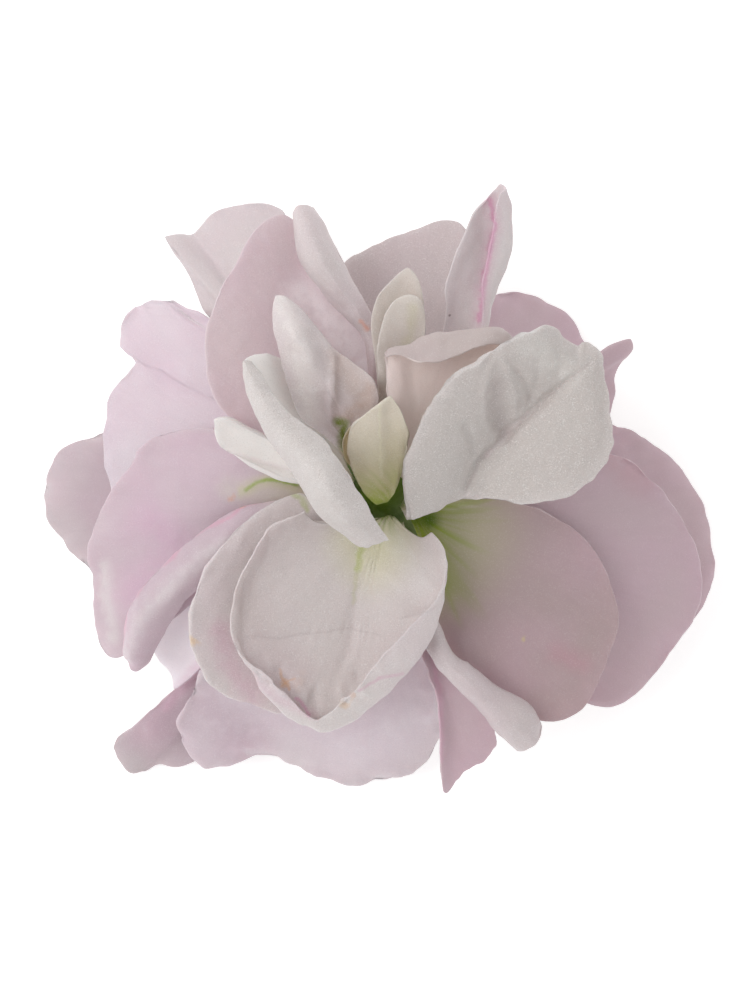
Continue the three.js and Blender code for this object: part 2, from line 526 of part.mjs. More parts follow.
// Unit normals of a net, towards the eye, each evened out with its neighbours'.
const EVENING_ROUNDS = 4;
function normalsOf(net) {
  let normals = net.map((row) => row.map(() => new THREE.Vector3()));
  for (let i = 0; i < net.length - 1; i++) {
    for (let j = 0; j < net[i].length - 1; j++) {
      const [a, b, c, d] = [net[i][j], net[i][j + 1], net[i + 1][j], net[i + 1][j + 1]];
      const facing = d.clone().sub(a).cross(b.clone().sub(c));
      for (const [k, l] of [[i, j], [i, j + 1], [i + 1, j], [i + 1, j + 1]]) normals[k][l].add(facing);
    }
  }
  normals.flat().forEach((normal) => normal.normalize());
  for (let round = 0; round < EVENING_ROUNDS; round++) {
    normals = normals.map((row, i) => row.map((normal, j) => {
      const around = [normals[i - 1]?.[j], normals[i + 1]?.[j], row[j - 1], row[j + 1]].filter(Boolean);
      return around.reduce((sum, n) => sum.add(n), normal.clone()).normalize();
    }));
  }
  return normals;
}

// A closed solid of even thickness on a net. Both faces are split into triangles along the same diagonals.
function blade(net) {
  const normals = normalsOf(net);
  const rows = net.length, columns = net[0].length;
  const vertices = [1, -1].flatMap((sign) => net.flatMap((row, i) =>
    row.map((p, j) => p.clone().addScaledVector(normals[i][j], (sign * PETAL_THICK) / 2))));
  const top = (i, j) => i * columns + j;
  const bottom = (i, j) => rows * columns + top(i, j);
  const triangles = [];
  const wall = (i, j, k, l) =>
    triangles.push([top(i, j), bottom(i, j), bottom(k, l)], [top(i, j), bottom(k, l), top(k, l)]);
  for (let i = 0; i < rows - 1; i++) {
    for (let j = 0; j < columns - 1; j++) {
      triangles.push([top(i, j), top(i + 1, j), top(i + 1, j + 1)]);
      triangles.push([top(i, j), top(i + 1, j + 1), top(i, j + 1)]);
      triangles.push([bottom(i, j), bottom(i + 1, j + 1), bottom(i + 1, j)]);
      triangles.push([bottom(i, j), bottom(i, j + 1), bottom(i + 1, j + 1)]);
    }
    wall(i, 0, i + 1, 0);
    wall(i + 1, columns - 1, i, columns - 1);
  }
  for (let j = 0; j < columns - 1; j++) {
    wall(0, j + 1, 0, j);
    wall(rows - 1, j, rows - 1, j + 1);
  }
  const geometry = new THREE.BufferGeometry();
  const positions = vertices.flatMap((v) => v.toArray());
  geometry.setAttribute('position', new THREE.Float32BufferAttribute(positions, 3));
  geometry.setIndex(triangles.flat());
  geometry.computeVertexNormals();
  return geometry;
}

function meshOf(name, geometry, finish) {
  const mesh = new THREE.Mesh(geometry, new THREE.MeshStandardMaterial({ ...finish, metalness: 0 }));
  mesh.name = name;
  return mesh;
}

// The sepal: a strap that leaves the stalk under the receptacle and stands up against the claws.
const SEPAL_ROWS = 9;
const SEPAL_COLUMNS = [-1, -0.5, 0, 0.5, 1];
const SEPAL_CUP = 24; // degrees by which each half turns up
const SEPAL_BLUNT = 0.3; // share of its length that rounds off into the tip
const SEPAL_TIP_WIDTH = 0.2; // share of the half width that is left at the tip
function sepal(azimuth) {
  const curve = curveThrough(SEPAL_PROFILE.map(([r, z]) => polar(r, azimuth, z)));
  const side = UP.clone().cross(polar(1, azimuth, 0));
  const net = [];
  for (let i = 0; i <= SEPAL_ROWS; i++) {
    const t = i / SEPAL_ROWS;
    const q = THREE.MathUtils.clamp((t - 1 + SEPAL_BLUNT) / SEPAL_BLUNT, 0, 1);
    const rounding = Math.max(SEPAL_TIP_WIDTH, Math.sqrt(1 - q * q));
    const width = through([0, 0.25, 0.5, 0.75, 1], SEPAL_HALF_WIDTHS, t) * rounding;
    const face = curve.getTangentAt(t).cross(side);
    net.push(SEPAL_COLUMNS.map((across) => {
      const angle = degrees(SEPAL_CUP * Math.abs(across) * smooth(t, 0.2, 0.6));
      return curve.getPointAt(t).addScaledVector(side, across * width * Math.cos(angle))
        .addScaledVector(face, Math.abs(across) * width * Math.sin(angle));
    }));
  }
  return net;
}

// Stalk and receptacle in one piece of revolution.
const RECEPTACLE_SEGMENTS = 36;
function receptacle() {
  const dome = [[DOME_TOP_RADIUS, domeHeight(DOME_TOP_RADIUS)], [0, domeHeight(DOME_TOP_RADIUS) + 0.15]];
  const outline = [...RECEPTACLE_PROFILE, ...dome].map(([r, z]) => new THREE.Vector2(r, z));
  return new THREE.LatheGeometry(outline, RECEPTACLE_SEGMENTS).rotateX(Math.PI / 2);
}

const bloom = new THREE.Group();
const nets = PETALS.map((petal) => new PetalSurface(petal).net());
drape(nets);
PETALS.forEach(({ name, finish }, i) => bloom.add(meshOf(name, blade(nets[i]), finish)));
SEPAL_AZIMUTHS.forEach((azimuth, i) => bloom.add(meshOf(`sepal_${i + 1}`, blade(sepal(azimuth)), GREEN)));
bloom.add(meshOf('receptacle_and_stalk', receptacle(), PALE_GREEN));

// The origin stands under the middle of the bloom, on the surface.
const box = new THREE.Box3().setFromObject(bloom);
const middle = box.getCenter(new THREE.Vector3()).setZ(box.min.z);
for (const mesh of bloom.children) mesh.geometry.translate(-middle.x, -middle.y, -middle.z);

export default bloom;
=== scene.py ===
import logging
import math
from dataclasses import dataclass, field
from enum import Enum
from typing import ClassVar, Optional, Sequence, Union

import bmesh
import bpy
import numpy as np
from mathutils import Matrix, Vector, kdtree


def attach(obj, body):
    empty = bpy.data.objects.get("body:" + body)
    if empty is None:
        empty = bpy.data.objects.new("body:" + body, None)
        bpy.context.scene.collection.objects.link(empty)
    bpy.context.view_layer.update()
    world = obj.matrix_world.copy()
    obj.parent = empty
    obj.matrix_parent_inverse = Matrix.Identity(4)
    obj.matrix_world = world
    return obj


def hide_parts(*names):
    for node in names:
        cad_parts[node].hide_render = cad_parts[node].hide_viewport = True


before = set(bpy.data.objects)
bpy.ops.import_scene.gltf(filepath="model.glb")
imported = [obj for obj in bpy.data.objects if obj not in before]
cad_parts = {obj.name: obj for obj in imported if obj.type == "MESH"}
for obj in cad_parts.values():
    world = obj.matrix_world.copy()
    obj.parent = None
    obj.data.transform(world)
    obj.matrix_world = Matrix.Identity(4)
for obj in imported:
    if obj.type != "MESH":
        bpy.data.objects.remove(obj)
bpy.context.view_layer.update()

LOG = logging.getLogger("bloom")

RGB = tuple[float, float, float]
Plan = tuple[float, float]
Place = tuple[float, float, float]
Number = Union[int, float]

MM = 0.001
PER_METRE = 1000

# An edge that turns by more than SHARP belongs to a margin. Faces closer than the other two angles are
# joined into quads.
SHARP = math.radians(50)
QUAD_FACES = math.radians(60)
QUAD_SHAPE = math.radians(100)

# Sizes in millimetres: points closer than DOUBLES are merged, a claw's foot is the lowest FOOT_DEPTH within
# CLAW_RING of the axis, the margin is sampled at RIM_STEP, and a margin's wall is narrower than WALL. A
# petal's inner side is the one that turns to a point EYE_HEIGHT up the axis, within FOOT_REACH of the foot.
DOUBLES = 0.002
CLAW_RING = 4.4
FOOT_DEPTH = 0.5
RIM_STEP = 0.25
WALL = 1.0
EYE_HEIGHT = 60
FOOT_REACH = 6

# Added to a petal's seed for the ripples of its wrinkles and of its notches.
WRINKLE_SEEDS = 100
NOTCH_SEEDS = 200


def linear(red: int, green: int, blue: int) -> RGB:
    """Gives the linear colour of an sRGB one.

    Args:
        red: Red from 0 to 255.
        green: Green from 0 to 255.
        blue: Blue from 0 to 255.

    Returns:
        The three channels in linear light.
    """
    channels = [c / 255 for c in (red, green, blue)]
    return tuple(c / 12.92 if c <= 0.04045 else ((c + 0.055) / 1.055) ** 2.4 for c in channels)


def darker(colour: RGB, share: float) -> RGB:
    """Scales a colour."""
    return tuple(c * share for c in colour)


class Ring(Enum):
    """Ring of claws that a petal stands in, with its claw's length in millimetres."""

    OUTER = 4.2
    MIDDLE = 4.5
    INNER = 4.8
    HEART = 5.0


class Detail(Enum):
    """Subdivision levels of a petal."""

    BEHIND = 2
    IN_FRONT = 3


# Shader maths


class Term:
    """A shader socket that is added and multiplied like a number."""

    def __init__(self, bench: "Bench", socket: bpy.types.NodeSocket) -> None:
        """Wraps a socket of a bench's material."""
        self.bench = bench
        self.socket = socket

    def __add__(self, other: "Operand") -> "Term":
        """Sum."""
        return self.bench.maths("ADD", self, other)

    __radd__ = __add__

    def __sub__(self, other: "Operand") -> "Term":
        """Difference."""
        return self.bench.maths("SUBTRACT", self, other)

    def __rsub__(self, other: "Operand") -> "Term":
        """Difference from a number."""
        return self.bench.maths("SUBTRACT", other, self)

    def __mul__(self, other: "Operand") -> "Term":
        """Product."""
        return self.bench.maths("MULTIPLY", self, other)

    __rmul__ = __mul__

    def __abs__(self) -> "Term":
        """Size without its sign."""
        return self.bench.maths("ABSOLUTE", self)

    def smooth(self, low: float, high: float) -> "Term":
        """Makes a soft step.

        Args:
            low: Where the step is 0. It may be the larger of the two.
            high: Where the step is 1.

        Returns:
            The step, from 0 to 1.
        """
        ends = {"To Min": 0.0, "To Max": 1.0} if low < high else {"To Min": 1.0, "To Max": 0.0}
        values = {"Value": self, "From Min": min(low, high), "From Max": max(low, high), **ends}
        return self.bench.add("ShaderNodeMapRange", {"interpolation_type": "SMOOTHSTEP"}, values, "Result")

    def kept(self) -> "Term":
        """Holds the value between 0 and 1."""
        return self.bench.maths("MULTIPLY", self, 1.0, clamp=True)


Operand = Union[Term, Number]


class Bench:
    """One material's nodes, added through one method.

    The Mix node has sockets of one name for every kind of value, so those for colours go by place.
    """

    mix_share = 0
    mix_first = 6
    mix_second = 7
    mix_result = 2

    def __init__(self, name: str) -> None:
        """Starts a material with its shader and nothing else.

        Args:
            name: The material's name.
        """
        self.material = bpy.data.materials.new(name)
        self.material.use_nodes = True
        self.tree = self.material.node_tree
        self.shader = self.tree.nodes["Principled BSDF"]

    def add(self, kind: str, settings: dict, values: dict, output: Union[str, int] = 0) -> Term:
        """Adds a node.

        Args:
            kind: The node's type.
            settings: Properties of the node, set first.
            values: Numbers, colours or terms for its inputs, by name or place.
            output: Name or place of the output that is wanted.

        Returns:
            That output.
        """
        node = self.tree.nodes.new(kind)
        for name, value in settings.items():
            setattr(node, name, value)
        for name, value in values.items():
            if isinstance(value, Term):
                self.tree.links.new(value.socket, node.inputs[name])
            else:
                node.inputs[name].default_value = value
        return Term(self, node.outputs[output])

    def maths(self, operation: str, *values: Operand, clamp: bool = False) -> Term:
        """Adds one step of arithmetic."""
        settings = {"operation": operation, "use_clamp": clamp}
        return self.add("ShaderNodeMath", settings, dict(enumerate(values)), "Value")

    def vector(self, operation: str, *values: Union[Term, tuple], output: str = "Vector") -> Term:
        """Adds one step of vector arithmetic."""
        settings = {"operation": operation}
        return self.add("ShaderNodeVectorMath", settings, dict(enumerate(values)), output)

    def mix(self, share: Operand, first: Union[Term, RGB], second: Union[Term, RGB]) -> Term:
        """Blends two colours.

        Args:
            share: Share of the second, from 0 to 1.
            first: The colour at 0.
            second: The colour at 1.

        Returns:
            The blend.
        """
        def tint(value: Union[Term, RGB]) -> Union[Term, tuple]:
            """Gives a colour its fourth channel."""
            return value if isinstance(value, Term) else (*value, 1.0)

        values = {self.mix_share: share, self.mix_first: tint(first), self.mix_second: tint(second)}
        return self.add("ShaderNodeMix", {"data_type": "RGBA"}, values, self.mix_result)

    def noise(self, place: Term, scale: float, detail: float = 2.0, warp: float = 0.0) -> Term:
        """Adds a noise from 0 to 1."""
        values = {"Vector": place, "Scale": scale, "Detail": detail, "Distortion": warp}
        return self.add("ShaderNodeTexNoise", {"noise_dimensions": "3D"}, values, "Fac")

    def place(self, x: Operand, y: Operand, z: Operand = 0.0) -> Term:
        """Joins three numbers into a place."""
        return self.add("ShaderNodeCombineXYZ", {}, {"X": x, "Y": y, "Z": z})

    def parts(self, vector: Term) -> list[Term]:
        """Splits a vector into three numbers."""
        x = self.add("ShaderNodeSeparateXYZ", {}, {"Vector": vector}, "X")
        return [Term(self, x.socket.node.outputs[i]) for i in range(3)]

    def attribute(self, name: str, output: str = "Vector") -> Term:
        """Reads a value that the mesh carries."""
        return self.add("ShaderNodeAttribute", {"attribute_name": name}, {}, output)

    def millimetres(self) -> list[Term]:
        """Reads the place on the object, as three numbers in millimetres."""
        metres = self.add("ShaderNodeTexCoord", {}, {}, "Object")
        return [part * PER_METRE for part in self.parts(metres)]

    def bump(self, height: Term, distance: float) -> Term:
        """Turns a height into a normal, at half strength and at most this distance."""
        values = {"Height": height, "Strength": 0.5, "Distance": distance}
        return self.add("ShaderNodeBump", {}, values, "Normal")

    def feed(self, name: str, value: Union[Term, float, tuple]) -> None:
        """Gives one of the shader's inputs a link or a constant.

        Args:
            name: The input's name.
            value: A term to link, or the number or colour to set.
        """
        if isinstance(value, Term):
            self.tree.links.new(value.socket, self.shader.inputs[name])
        else:
            self.shader.inputs[name].default_value = value


# Marks on a petal


@dataclass(frozen=True)
class Blemish:
    """A small stain, placed in plan in millimetres."""

    x: float
    y: float
    radius: float
    colour: RGB
    strength: float = 0.8
    raggedness: float = 2.6

    def lay(self, bench: Bench, colour: Term, here: Term, patchy: Term) -> Term:
        """Stains a colour.

        Args:
            bench: The material's bench.
            colour: The colour so far.
            here: The place in plan, in millimetres.
            patchy: A noise that breaks the stain's outline.

        Returns:
            The stained colour.
        """
        far = bench.vector("DISTANCE", here, (self.x, self.y, 0.0), output="Value")
        uneven = far + (patchy - 0.5) * (self.radius * self.raggedness)
        return bench.mix(uneven.smooth(self.radius, self.radius * 0.1) * self.strength, colour, self.colour)


@dataclass(frozen=True)
class Stroke:
    """A coloured line or band, drawn in plan in millimetres, for the colour of a fold or a vein and for
    painted light and shade.
    """

    points: tuple[Plan, ...]
    width: float
    colour: RGB
    strength: float = 0.5

    def lay(self, bench: Bench, colour: Term, here: Term, patchy: Term) -> Term:
        """Draws the line on a colour.

        Args:
            bench: The material's bench.
            colour: The colour so far.
            here: The place in plan, in millimetres.
            patchy: A noise that makes the line fainter in places.

        Returns:
            The colour with the line on it.
        """
        nearest: Optional[Term] = None
        for (ax, ay), (bx, by) in zip(self.points, self.points[1:]):
            dx, dy = bx - ax, by - ay
            size = dx * dx + dy * dy
            from_start = bench.vector("SUBTRACT", here, (ax, ay, 0.0))
            direction = (dx / size, dy / size, 0.0)
            share = bench.vector("DOT_PRODUCT", from_start, direction, output="Value").kept()
            foot = bench.vector("MULTIPLY_ADD", bench.place(share, share), (-dx, -dy, 0.0), from_start)
            far = bench.vector("LENGTH", foot, output="Value")
            nearest = far if nearest is None else bench.maths("MINIMUM", nearest, far)
        fading = patchy.smooth(0.2, 0.6) * 0.5 + 0.5
        return bench.mix(nearest.smooth(self.width, 0.0) * fading * self.strength, colour, self.colour)


Mark = Union[Blemish, Stroke]


# Changes of shape


@dataclass(frozen=True)
class Fold:
    """A crease or a swelling along a line, in plan and in millimetres; its rise is negative for a valley."""

    points: tuple[Plan, ...]
    width: float
    rise: float
    end_rise: float = 0.25
    end_slope: float = 5.0

    def at(self, places: np.ndarray) -> np.ndarray:
        """Gives the rise at each place.

        Args:
            places: Rows of x, y, z in millimetres.

        Returns:
            One rise for each row.
        """
        line = np.array(self.points, dtype=float)
        lengths = np.linalg.norm(np.diff(line, axis=0), axis=1)
        start = 0.0
        nearest = np.full(len(places), np.inf)
        share = np.zeros(len(places))
        for a, b, length in zip(line, line[1:], lengths):
            along = np.clip((places[:, :2] - a) @ (b - a) / length ** 2, 0, 1)
            far = np.linalg.norm(places[:, :2] - a - along[:, None] * (b - a), axis=1)
            closer = far < nearest
            nearest = np.where(closer, far, nearest)
            share = np.where(closer, (start + along * length) / lengths.sum(), share)
            start += length
        ends = np.clip(np.minimum(share, 1 - share) * self.end_slope + self.end_rise, 0, 1)
        return self.rise * ends * np.exp(-((nearest / self.width) ** 2))


@dataclass(frozen=True)
class Nudge:
    """A soft local shift of a petal, in millimetres, fading out over its radius."""

    centre: Place
    radius: float
    shift: Place

    def at(self, places: np.ndarray) -> np.ndarray:
        """Gives the shift of each place.

        Args:
            places: Rows of x, y, z in millimetres.

        Returns:
            One row of x, y, z for each.
        """
        far = np.linalg.norm(places - np.array(self.centre), axis=1)
        return np.exp(-((far / self.radius) ** 2))[:, None] * np.array(self.shift)


class Ripple:
    """Smooth noise on arrays of places, the same on every run."""

    octaves = 3
    waves = 9
    step = 1.9
    fade = 0.5
    span = 1.8

    def __init__(self, seed: int) -> None:
        """Draws a set of plane waves for each octave.

        Args:
            seed: Sets one pattern of waves apart from another.
        """
        draw = np.random.default_rng(seed)
        directions = draw.normal(size=(self.octaves, self.waves, 3))
        self.directions = directions / np.linalg.norm(directions, axis=2, keepdims=True)
        self.phases = draw.uniform(0, 2 * math.pi, size=(self.octaves, self.waves))

    def at(self, places: np.ndarray, wavelength: float) -> np.ndarray:
        """Gives a value from about -1 to 1 at each place.

        Args:
            places: Rows of x, y, z.
            wavelength: Length of the longest wave, in the places' unit.

        Returns:
            One value for each row.
        """
        total = np.zeros(len(places))
        for octave, (directions, phases) in enumerate(zip(self.directions, self.phases)):
            turns = places @ directions.T * (2 * math.pi / wavelength * self.step ** octave) + phases
            total += np.sin(turns).sum(axis=1) / math.sqrt(self.waves) * self.fade ** octave
        return total / self.span


# Finishes


@dataclass(frozen=True)
class Patterns:
    """The measures and noises that a petal's colour and skin are mixed from.

    along and margin are distances from the claw and from the margin in millimetres, and here is the place in
    plan. back is 1 on the petal's outer side, and clear_of_claw is 0 at the claw and 1 out on the blade. The
    others are noises from 0 to 1.
    """

    along: Term
    margin: Term
    back: Term
    here: Term
    cloud: Term
    patchy: Term
    sparkle: Term
    fibre: Term
    tongue: Term
    pucker: Term
    clear_of_claw: Term


@dataclass(frozen=True)
class PetalFinish:
    """A petal's colours and skin, with reaches in millimetres from the claw."""

    body: RGB
    back: RGB = linear(214, 208, 206)
    cream: RGB = linear(214, 208, 184)
    green: RGB = linear(136, 158, 30)
    blush: RGB = linear(208, 170, 192)
    margin: RGB = linear(232, 218, 222)
    # Colour of the painted glints.
    glint: RGB = (0.94, 0.92, 0.91)
    back_share: float = 0.5
    blush_share: float = 0.2
    blush_margin: float = 2.4
    green_reach: float = 1.2
    green_share: float = 0.9
    tongues: float = 2.4
    cream_reach: float = 4.5
    cream_share: float = 0.7
    vein_share: float = 0.05
    vein_width: float = 0.22
    margin_share: float = 0.3
    margin_width: float = 0.26
    sparkle_share: float = 0.14
    roughness: float = 0.44
    roughness_spread: float = 0.12

    def patterns(self, bench: Bench, seed: int) -> Patterns:
        """Reads the petal's measures and adds its noises.

        Args:
            bench: The material's bench.
            seed: Sets one petal's clouds and fibres apart from another's.

        Returns:
            All of them.
        """
        fan, along, margin = bench.parts(bench.attribute("blade"))
        x, y, z = bench.millimetres()
        place = bench.place(x + seed * 7.3, y, z)
        fibre_place = bench.place(fan * 17 + seed * 3.1, along * 0.16, seed)
        tongue_place = bench.place(fan * 4.5 + seed * 1.7, along * 0.1, seed)
        cloud = bench.noise(place, 0.16, 3.0)
        patchy = bench.noise(place, 1.3, 4.0)
        return Patterns(
            along=along,
            margin=margin,
            back=bench.attribute("back", "Fac"),
            here=bench.place(x + (patchy - 0.5) * 0.7, y + (cloud - 0.5) * 0.9),
            cloud=cloud,
            patchy=patchy,
            sparkle=bench.noise(place, 11.0),
            fibre=bench.noise(fibre_place, 1.0, 3.0, 0.4),
            tongue=bench.noise(tongue_place, 1.0),
            pucker=bench.noise(place, 0.8, 3.0, 0.6),
            clear_of_claw=along.smooth(2.0, 6.0),
        )

    def tint(self, bench: Bench, p: Patterns, marks: Sequence[Mark]) -> Term:
        """Mixes the petal's colour.

        Args:
            bench: The material's bench.
            p: The petal's patterns.
            marks: Stains and coloured lines on this petal.

        Returns:
            The colour.
        """
        colour = bench.mix(p.back * self.back_share, self.body, self.back)
        at_margin = p.margin.smooth(self.blush_margin, 0.0) * 0.35
        flush = p.cloud.smooth(0.32, 0.72) * p.along.smooth(2.0, 9.0) + at_margin
        colour = bench.mix((flush * self.blush_share).kept(), colour, self.blush)
        creamy = p.along.smooth(self.cream_reach, self.cream_reach * 0.2) * self.cream_share
        colour = bench.mix(creamy, colour, self.cream)
        reach = p.along + (p.tongue - 0.5) * (self.green_reach * self.tongues)
        verdant = reach.smooth(self.green_reach, self.green_reach * 0.1 - 0.8) * self.green_share
        colour = bench.mix(verdant, colour, self.green)
        vein = (1 - abs(p.fibre * 2 - 1).smooth(0.0, self.vein_width)) * p.clear_of_claw
        colour = bench.mix(vein * self.vein_share, colour, darker(self.body, 0.7))
        rim = p.margin.smooth(self.margin_width, 0.04) * self.margin_share
        colour = bench.mix(rim, colour, self.margin)
        for mark in marks:
            colour = mark.lay(bench, colour, p.here, p.patchy)
        # Painted glints and painted dark specks: the light and shade of the skin's tiny cells, laid into the
        # colour.
        glinting = (p.patchy.smooth(0.2, 0.8) + 0.5) * self.sparkle_share
        colour = bench.mix(p.sparkle.smooth(0.54, 0.68) * glinting, colour, self.glint)
        return bench.mix(p.sparkle.smooth(0.44, 0.32) * glinting, colour, darker(self.body, 0.65))

    def material(self, name: str, seed: int, marks: Sequence[Mark]) -> bpy.types.Material:
        """Makes the material.

        Args:
            name: The material's name.
            seed: Sets one petal's clouds and fibres apart from another's.
            marks: Stains and coloured lines on this petal.

        Returns:
            The material.
        """
        bench = Bench(name)
        p = self.patterns(bench, seed)
        bench.feed("Base Color", self.tint(bench, p, marks))
        bench.feed("Roughness", self.roughness_spread * p.sparkle + self.roughness)
        skin = p.sparkle * 0.06 + p.fibre * p.clear_of_claw * 0.05 + p.pucker * 0.16
        bench.feed("Normal", bench.bump(skin, 0.35 * MM))
        bench.feed("Subsurface Weight", 0.25)
        bench.feed("Subsurface Radius", (1.0, 0.8, 0.75))
        bench.feed("Subsurface Scale", 0.6 * MM)
        bench.feed("Specular IOR Level", 0.25)
        bench.feed("Sheen Weight", 0.1)
        bench.feed("Sheen Roughness", 0.4)
        return bench.material


@dataclass(frozen=True)
class GreenFinish:
    """The downy skin of the sepals, the receptacle and the stalk, which may be painted brighter up in the
    heart, as painted light in the shaded throat.
    """

    body: RGB
    pale: RGB
    hair: RGB = linear(206, 212, 190)
    hair_share: float = 0.35
    sheen: float = 0.3
    heart: Optional[RGB] = None

    def material(self, name: str) -> bpy.types.Material:
        """Makes the material.

        Args:
            name: The material's name.

        Returns:
            The material.
        """
        bench = Bench(name)
        x, y, z = bench.millimetres()
        streak = bench.noise(bench.place(x, y, z * 0.26), 1.7, 3.0)
        hair = bench.noise(bench.place(x, y, z), 9.0)
        colour = bench.mix(streak.smooth(0.3, 0.75), self.body, self.pale)
        colour = bench.mix(hair.smooth(0.55, 0.75) * self.hair_share, colour, self.hair)
        # Painted light: brighter and yellower up in the heart, against the shade of the throat.
        if self.heart:
            colour = bench.mix(z.smooth(7.0, 9.0), colour, self.heart)
        bench.feed("Base Color", colour)
        bench.feed("Roughness", 0.15 * hair + 0.6)
        bench.feed("Normal", bench.bump(streak * 0.4 + hair * 0.3, 0.3 * MM))
        bench.feed("Subsurface Weight", 0.1)
        bench.feed("Subsurface Scale", 0.5 * MM)
        bench.feed("Sheen Weight", self.sheen)
        return bench.material


class Finishes:
    """The petal finishes, from the heart out."""

    WHITE = PetalFinish(body=linear(197, 191, 187), blush_share=0.03, cream_reach=3.0, sparkle_share=0.28)
    FOLDED = PetalFinish(body=linear(189, 176, 170), back=linear(207, 201, 198), back_share=1.0,
                         blush_share=0.03, cream_reach=3.0, sparkle_share=0.28)
    # Painted light: lighter than these petals are, to offset the shade they lie in.
    PAINTED_LIGHT_WHITE = PetalFinish(body=linear(246, 242, 238), blush_share=0.03, sparkle_share=0.2)
    WARM = PetalFinish(body=linear(214, 205, 204), blush_share=0.14, green_reach=0.8, cream_reach=3.0,
                       sparkle_share=0.24)
    BOWL = PetalFinish(body=linear(210, 201, 199), blush_share=0.14, green_reach=1.2, cream_reach=4.0,
                       cream=linear(206, 204, 160), sparkle_share=0.22, margin_share=0.2)
    ROLLED = PetalFinish(body=linear(203, 193, 193), blush_share=0.1, sparkle_share=0.2)
    CREAM = PetalFinish(body=linear(215, 207, 199), blush_share=0.04, cream=linear(240, 228, 210),
                        green_reach=0.5, cream_reach=6.0, sparkle_share=0.2, margin_share=0.08)
    TAN = PetalFinish(body=linear(200, 186, 148), blush_share=0.0, cream=linear(190, 178, 128),
                      margin_share=0.05)
    THROAT = PetalFinish(body=linear(221, 212, 196), blush_share=0.03, cream=linear(212, 207, 142),
                         green=linear(150, 172, 12), green_reach=5.6, cream_reach=8.4, sparkle_share=0.2)
    # Painted light: the face is much lighter than the roll, to offset the shade that the roll casts on it.
    HOODED_PAINTED_LIGHT = PetalFinish(body=linear(242, 226, 220), blush_share=0.1, back=linear(164, 155, 153),
                         back_share=0.7)
    # Painted shade: a darker body for a petal lying in the shade of the large petal and the cup.
    SHADY = PetalFinish(body=linear(175, 155, 156), blush_share=0.2, cream=linear(176, 180, 132),
                        green=linear(136, 158, 14), green_reach=4.1, cream_reach=6.0, sparkle_share=0.07)
    BLUSH = PetalFinish(body=linear(213, 206, 206), blush_share=0.16)
    ROSE = PetalFinish(body=linear(218, 201, 205), blush_share=0.2)
    LILAC = PetalFinish(body=linear(208, 190, 198), blush_share=0.34, sparkle_share=0.1)
    ORCHID = PetalFinish(body=linear(199, 182, 189), blush_share=0.3)
    PALE = PetalFinish(body=linear(217, 204, 211), blush_share=0.24)
    # Painted light: lighter than this petal is, to offset the shade of the petals over it.
    PAINTED_LIGHT_PINK = PetalFinish(body=linear(250, 240, 246), blush_share=0.1)
    SILVER = PetalFinish(body=linear(188, 170, 177), blush_share=0.24, sparkle_share=0.07)
    ASHEN = PetalFinish(body=linear(172, 156, 161), blush_share=0.24, sparkle_share=0.1)
    DUSKY = PetalFinish(body=linear(196, 175, 181), blush_share=0.24, sparkle_share=0.07)


# Meshes


def places_of(mesh: bpy.types.Mesh) -> np.ndarray:
    """Gives a mesh's vertices in millimetres.

    Args:
        mesh: The mesh.

    Returns:
        Rows of x, y, z.
    """
    flat = np.empty(len(mesh.vertices) * 3, dtype=np.float32)
    mesh.vertices.foreach_get("co", flat)
    return flat.reshape(-1, 3).astype(float) / MM


def normals_of(mesh: bpy.types.Mesh) -> np.ndarray:
    """Gives a mesh's vertex normals.

    Args:
        mesh: The mesh.

    Returns:
        Rows of x, y, z.
    """
    flat = np.empty(len(mesh.vertices) * 3, dtype=np.float32)
    mesh.vertex_normals.foreach_get("vector", flat)
    return flat.reshape(-1, 3).astype(float)


def set_places(mesh: bpy.types.Mesh, places: np.ndarray) -> None:
    """Puts a mesh's vertices at these places, in millimetres."""
    mesh.vertices.foreach_set("co", (places * MM).astype(np.float32).ravel())
    mesh.update()


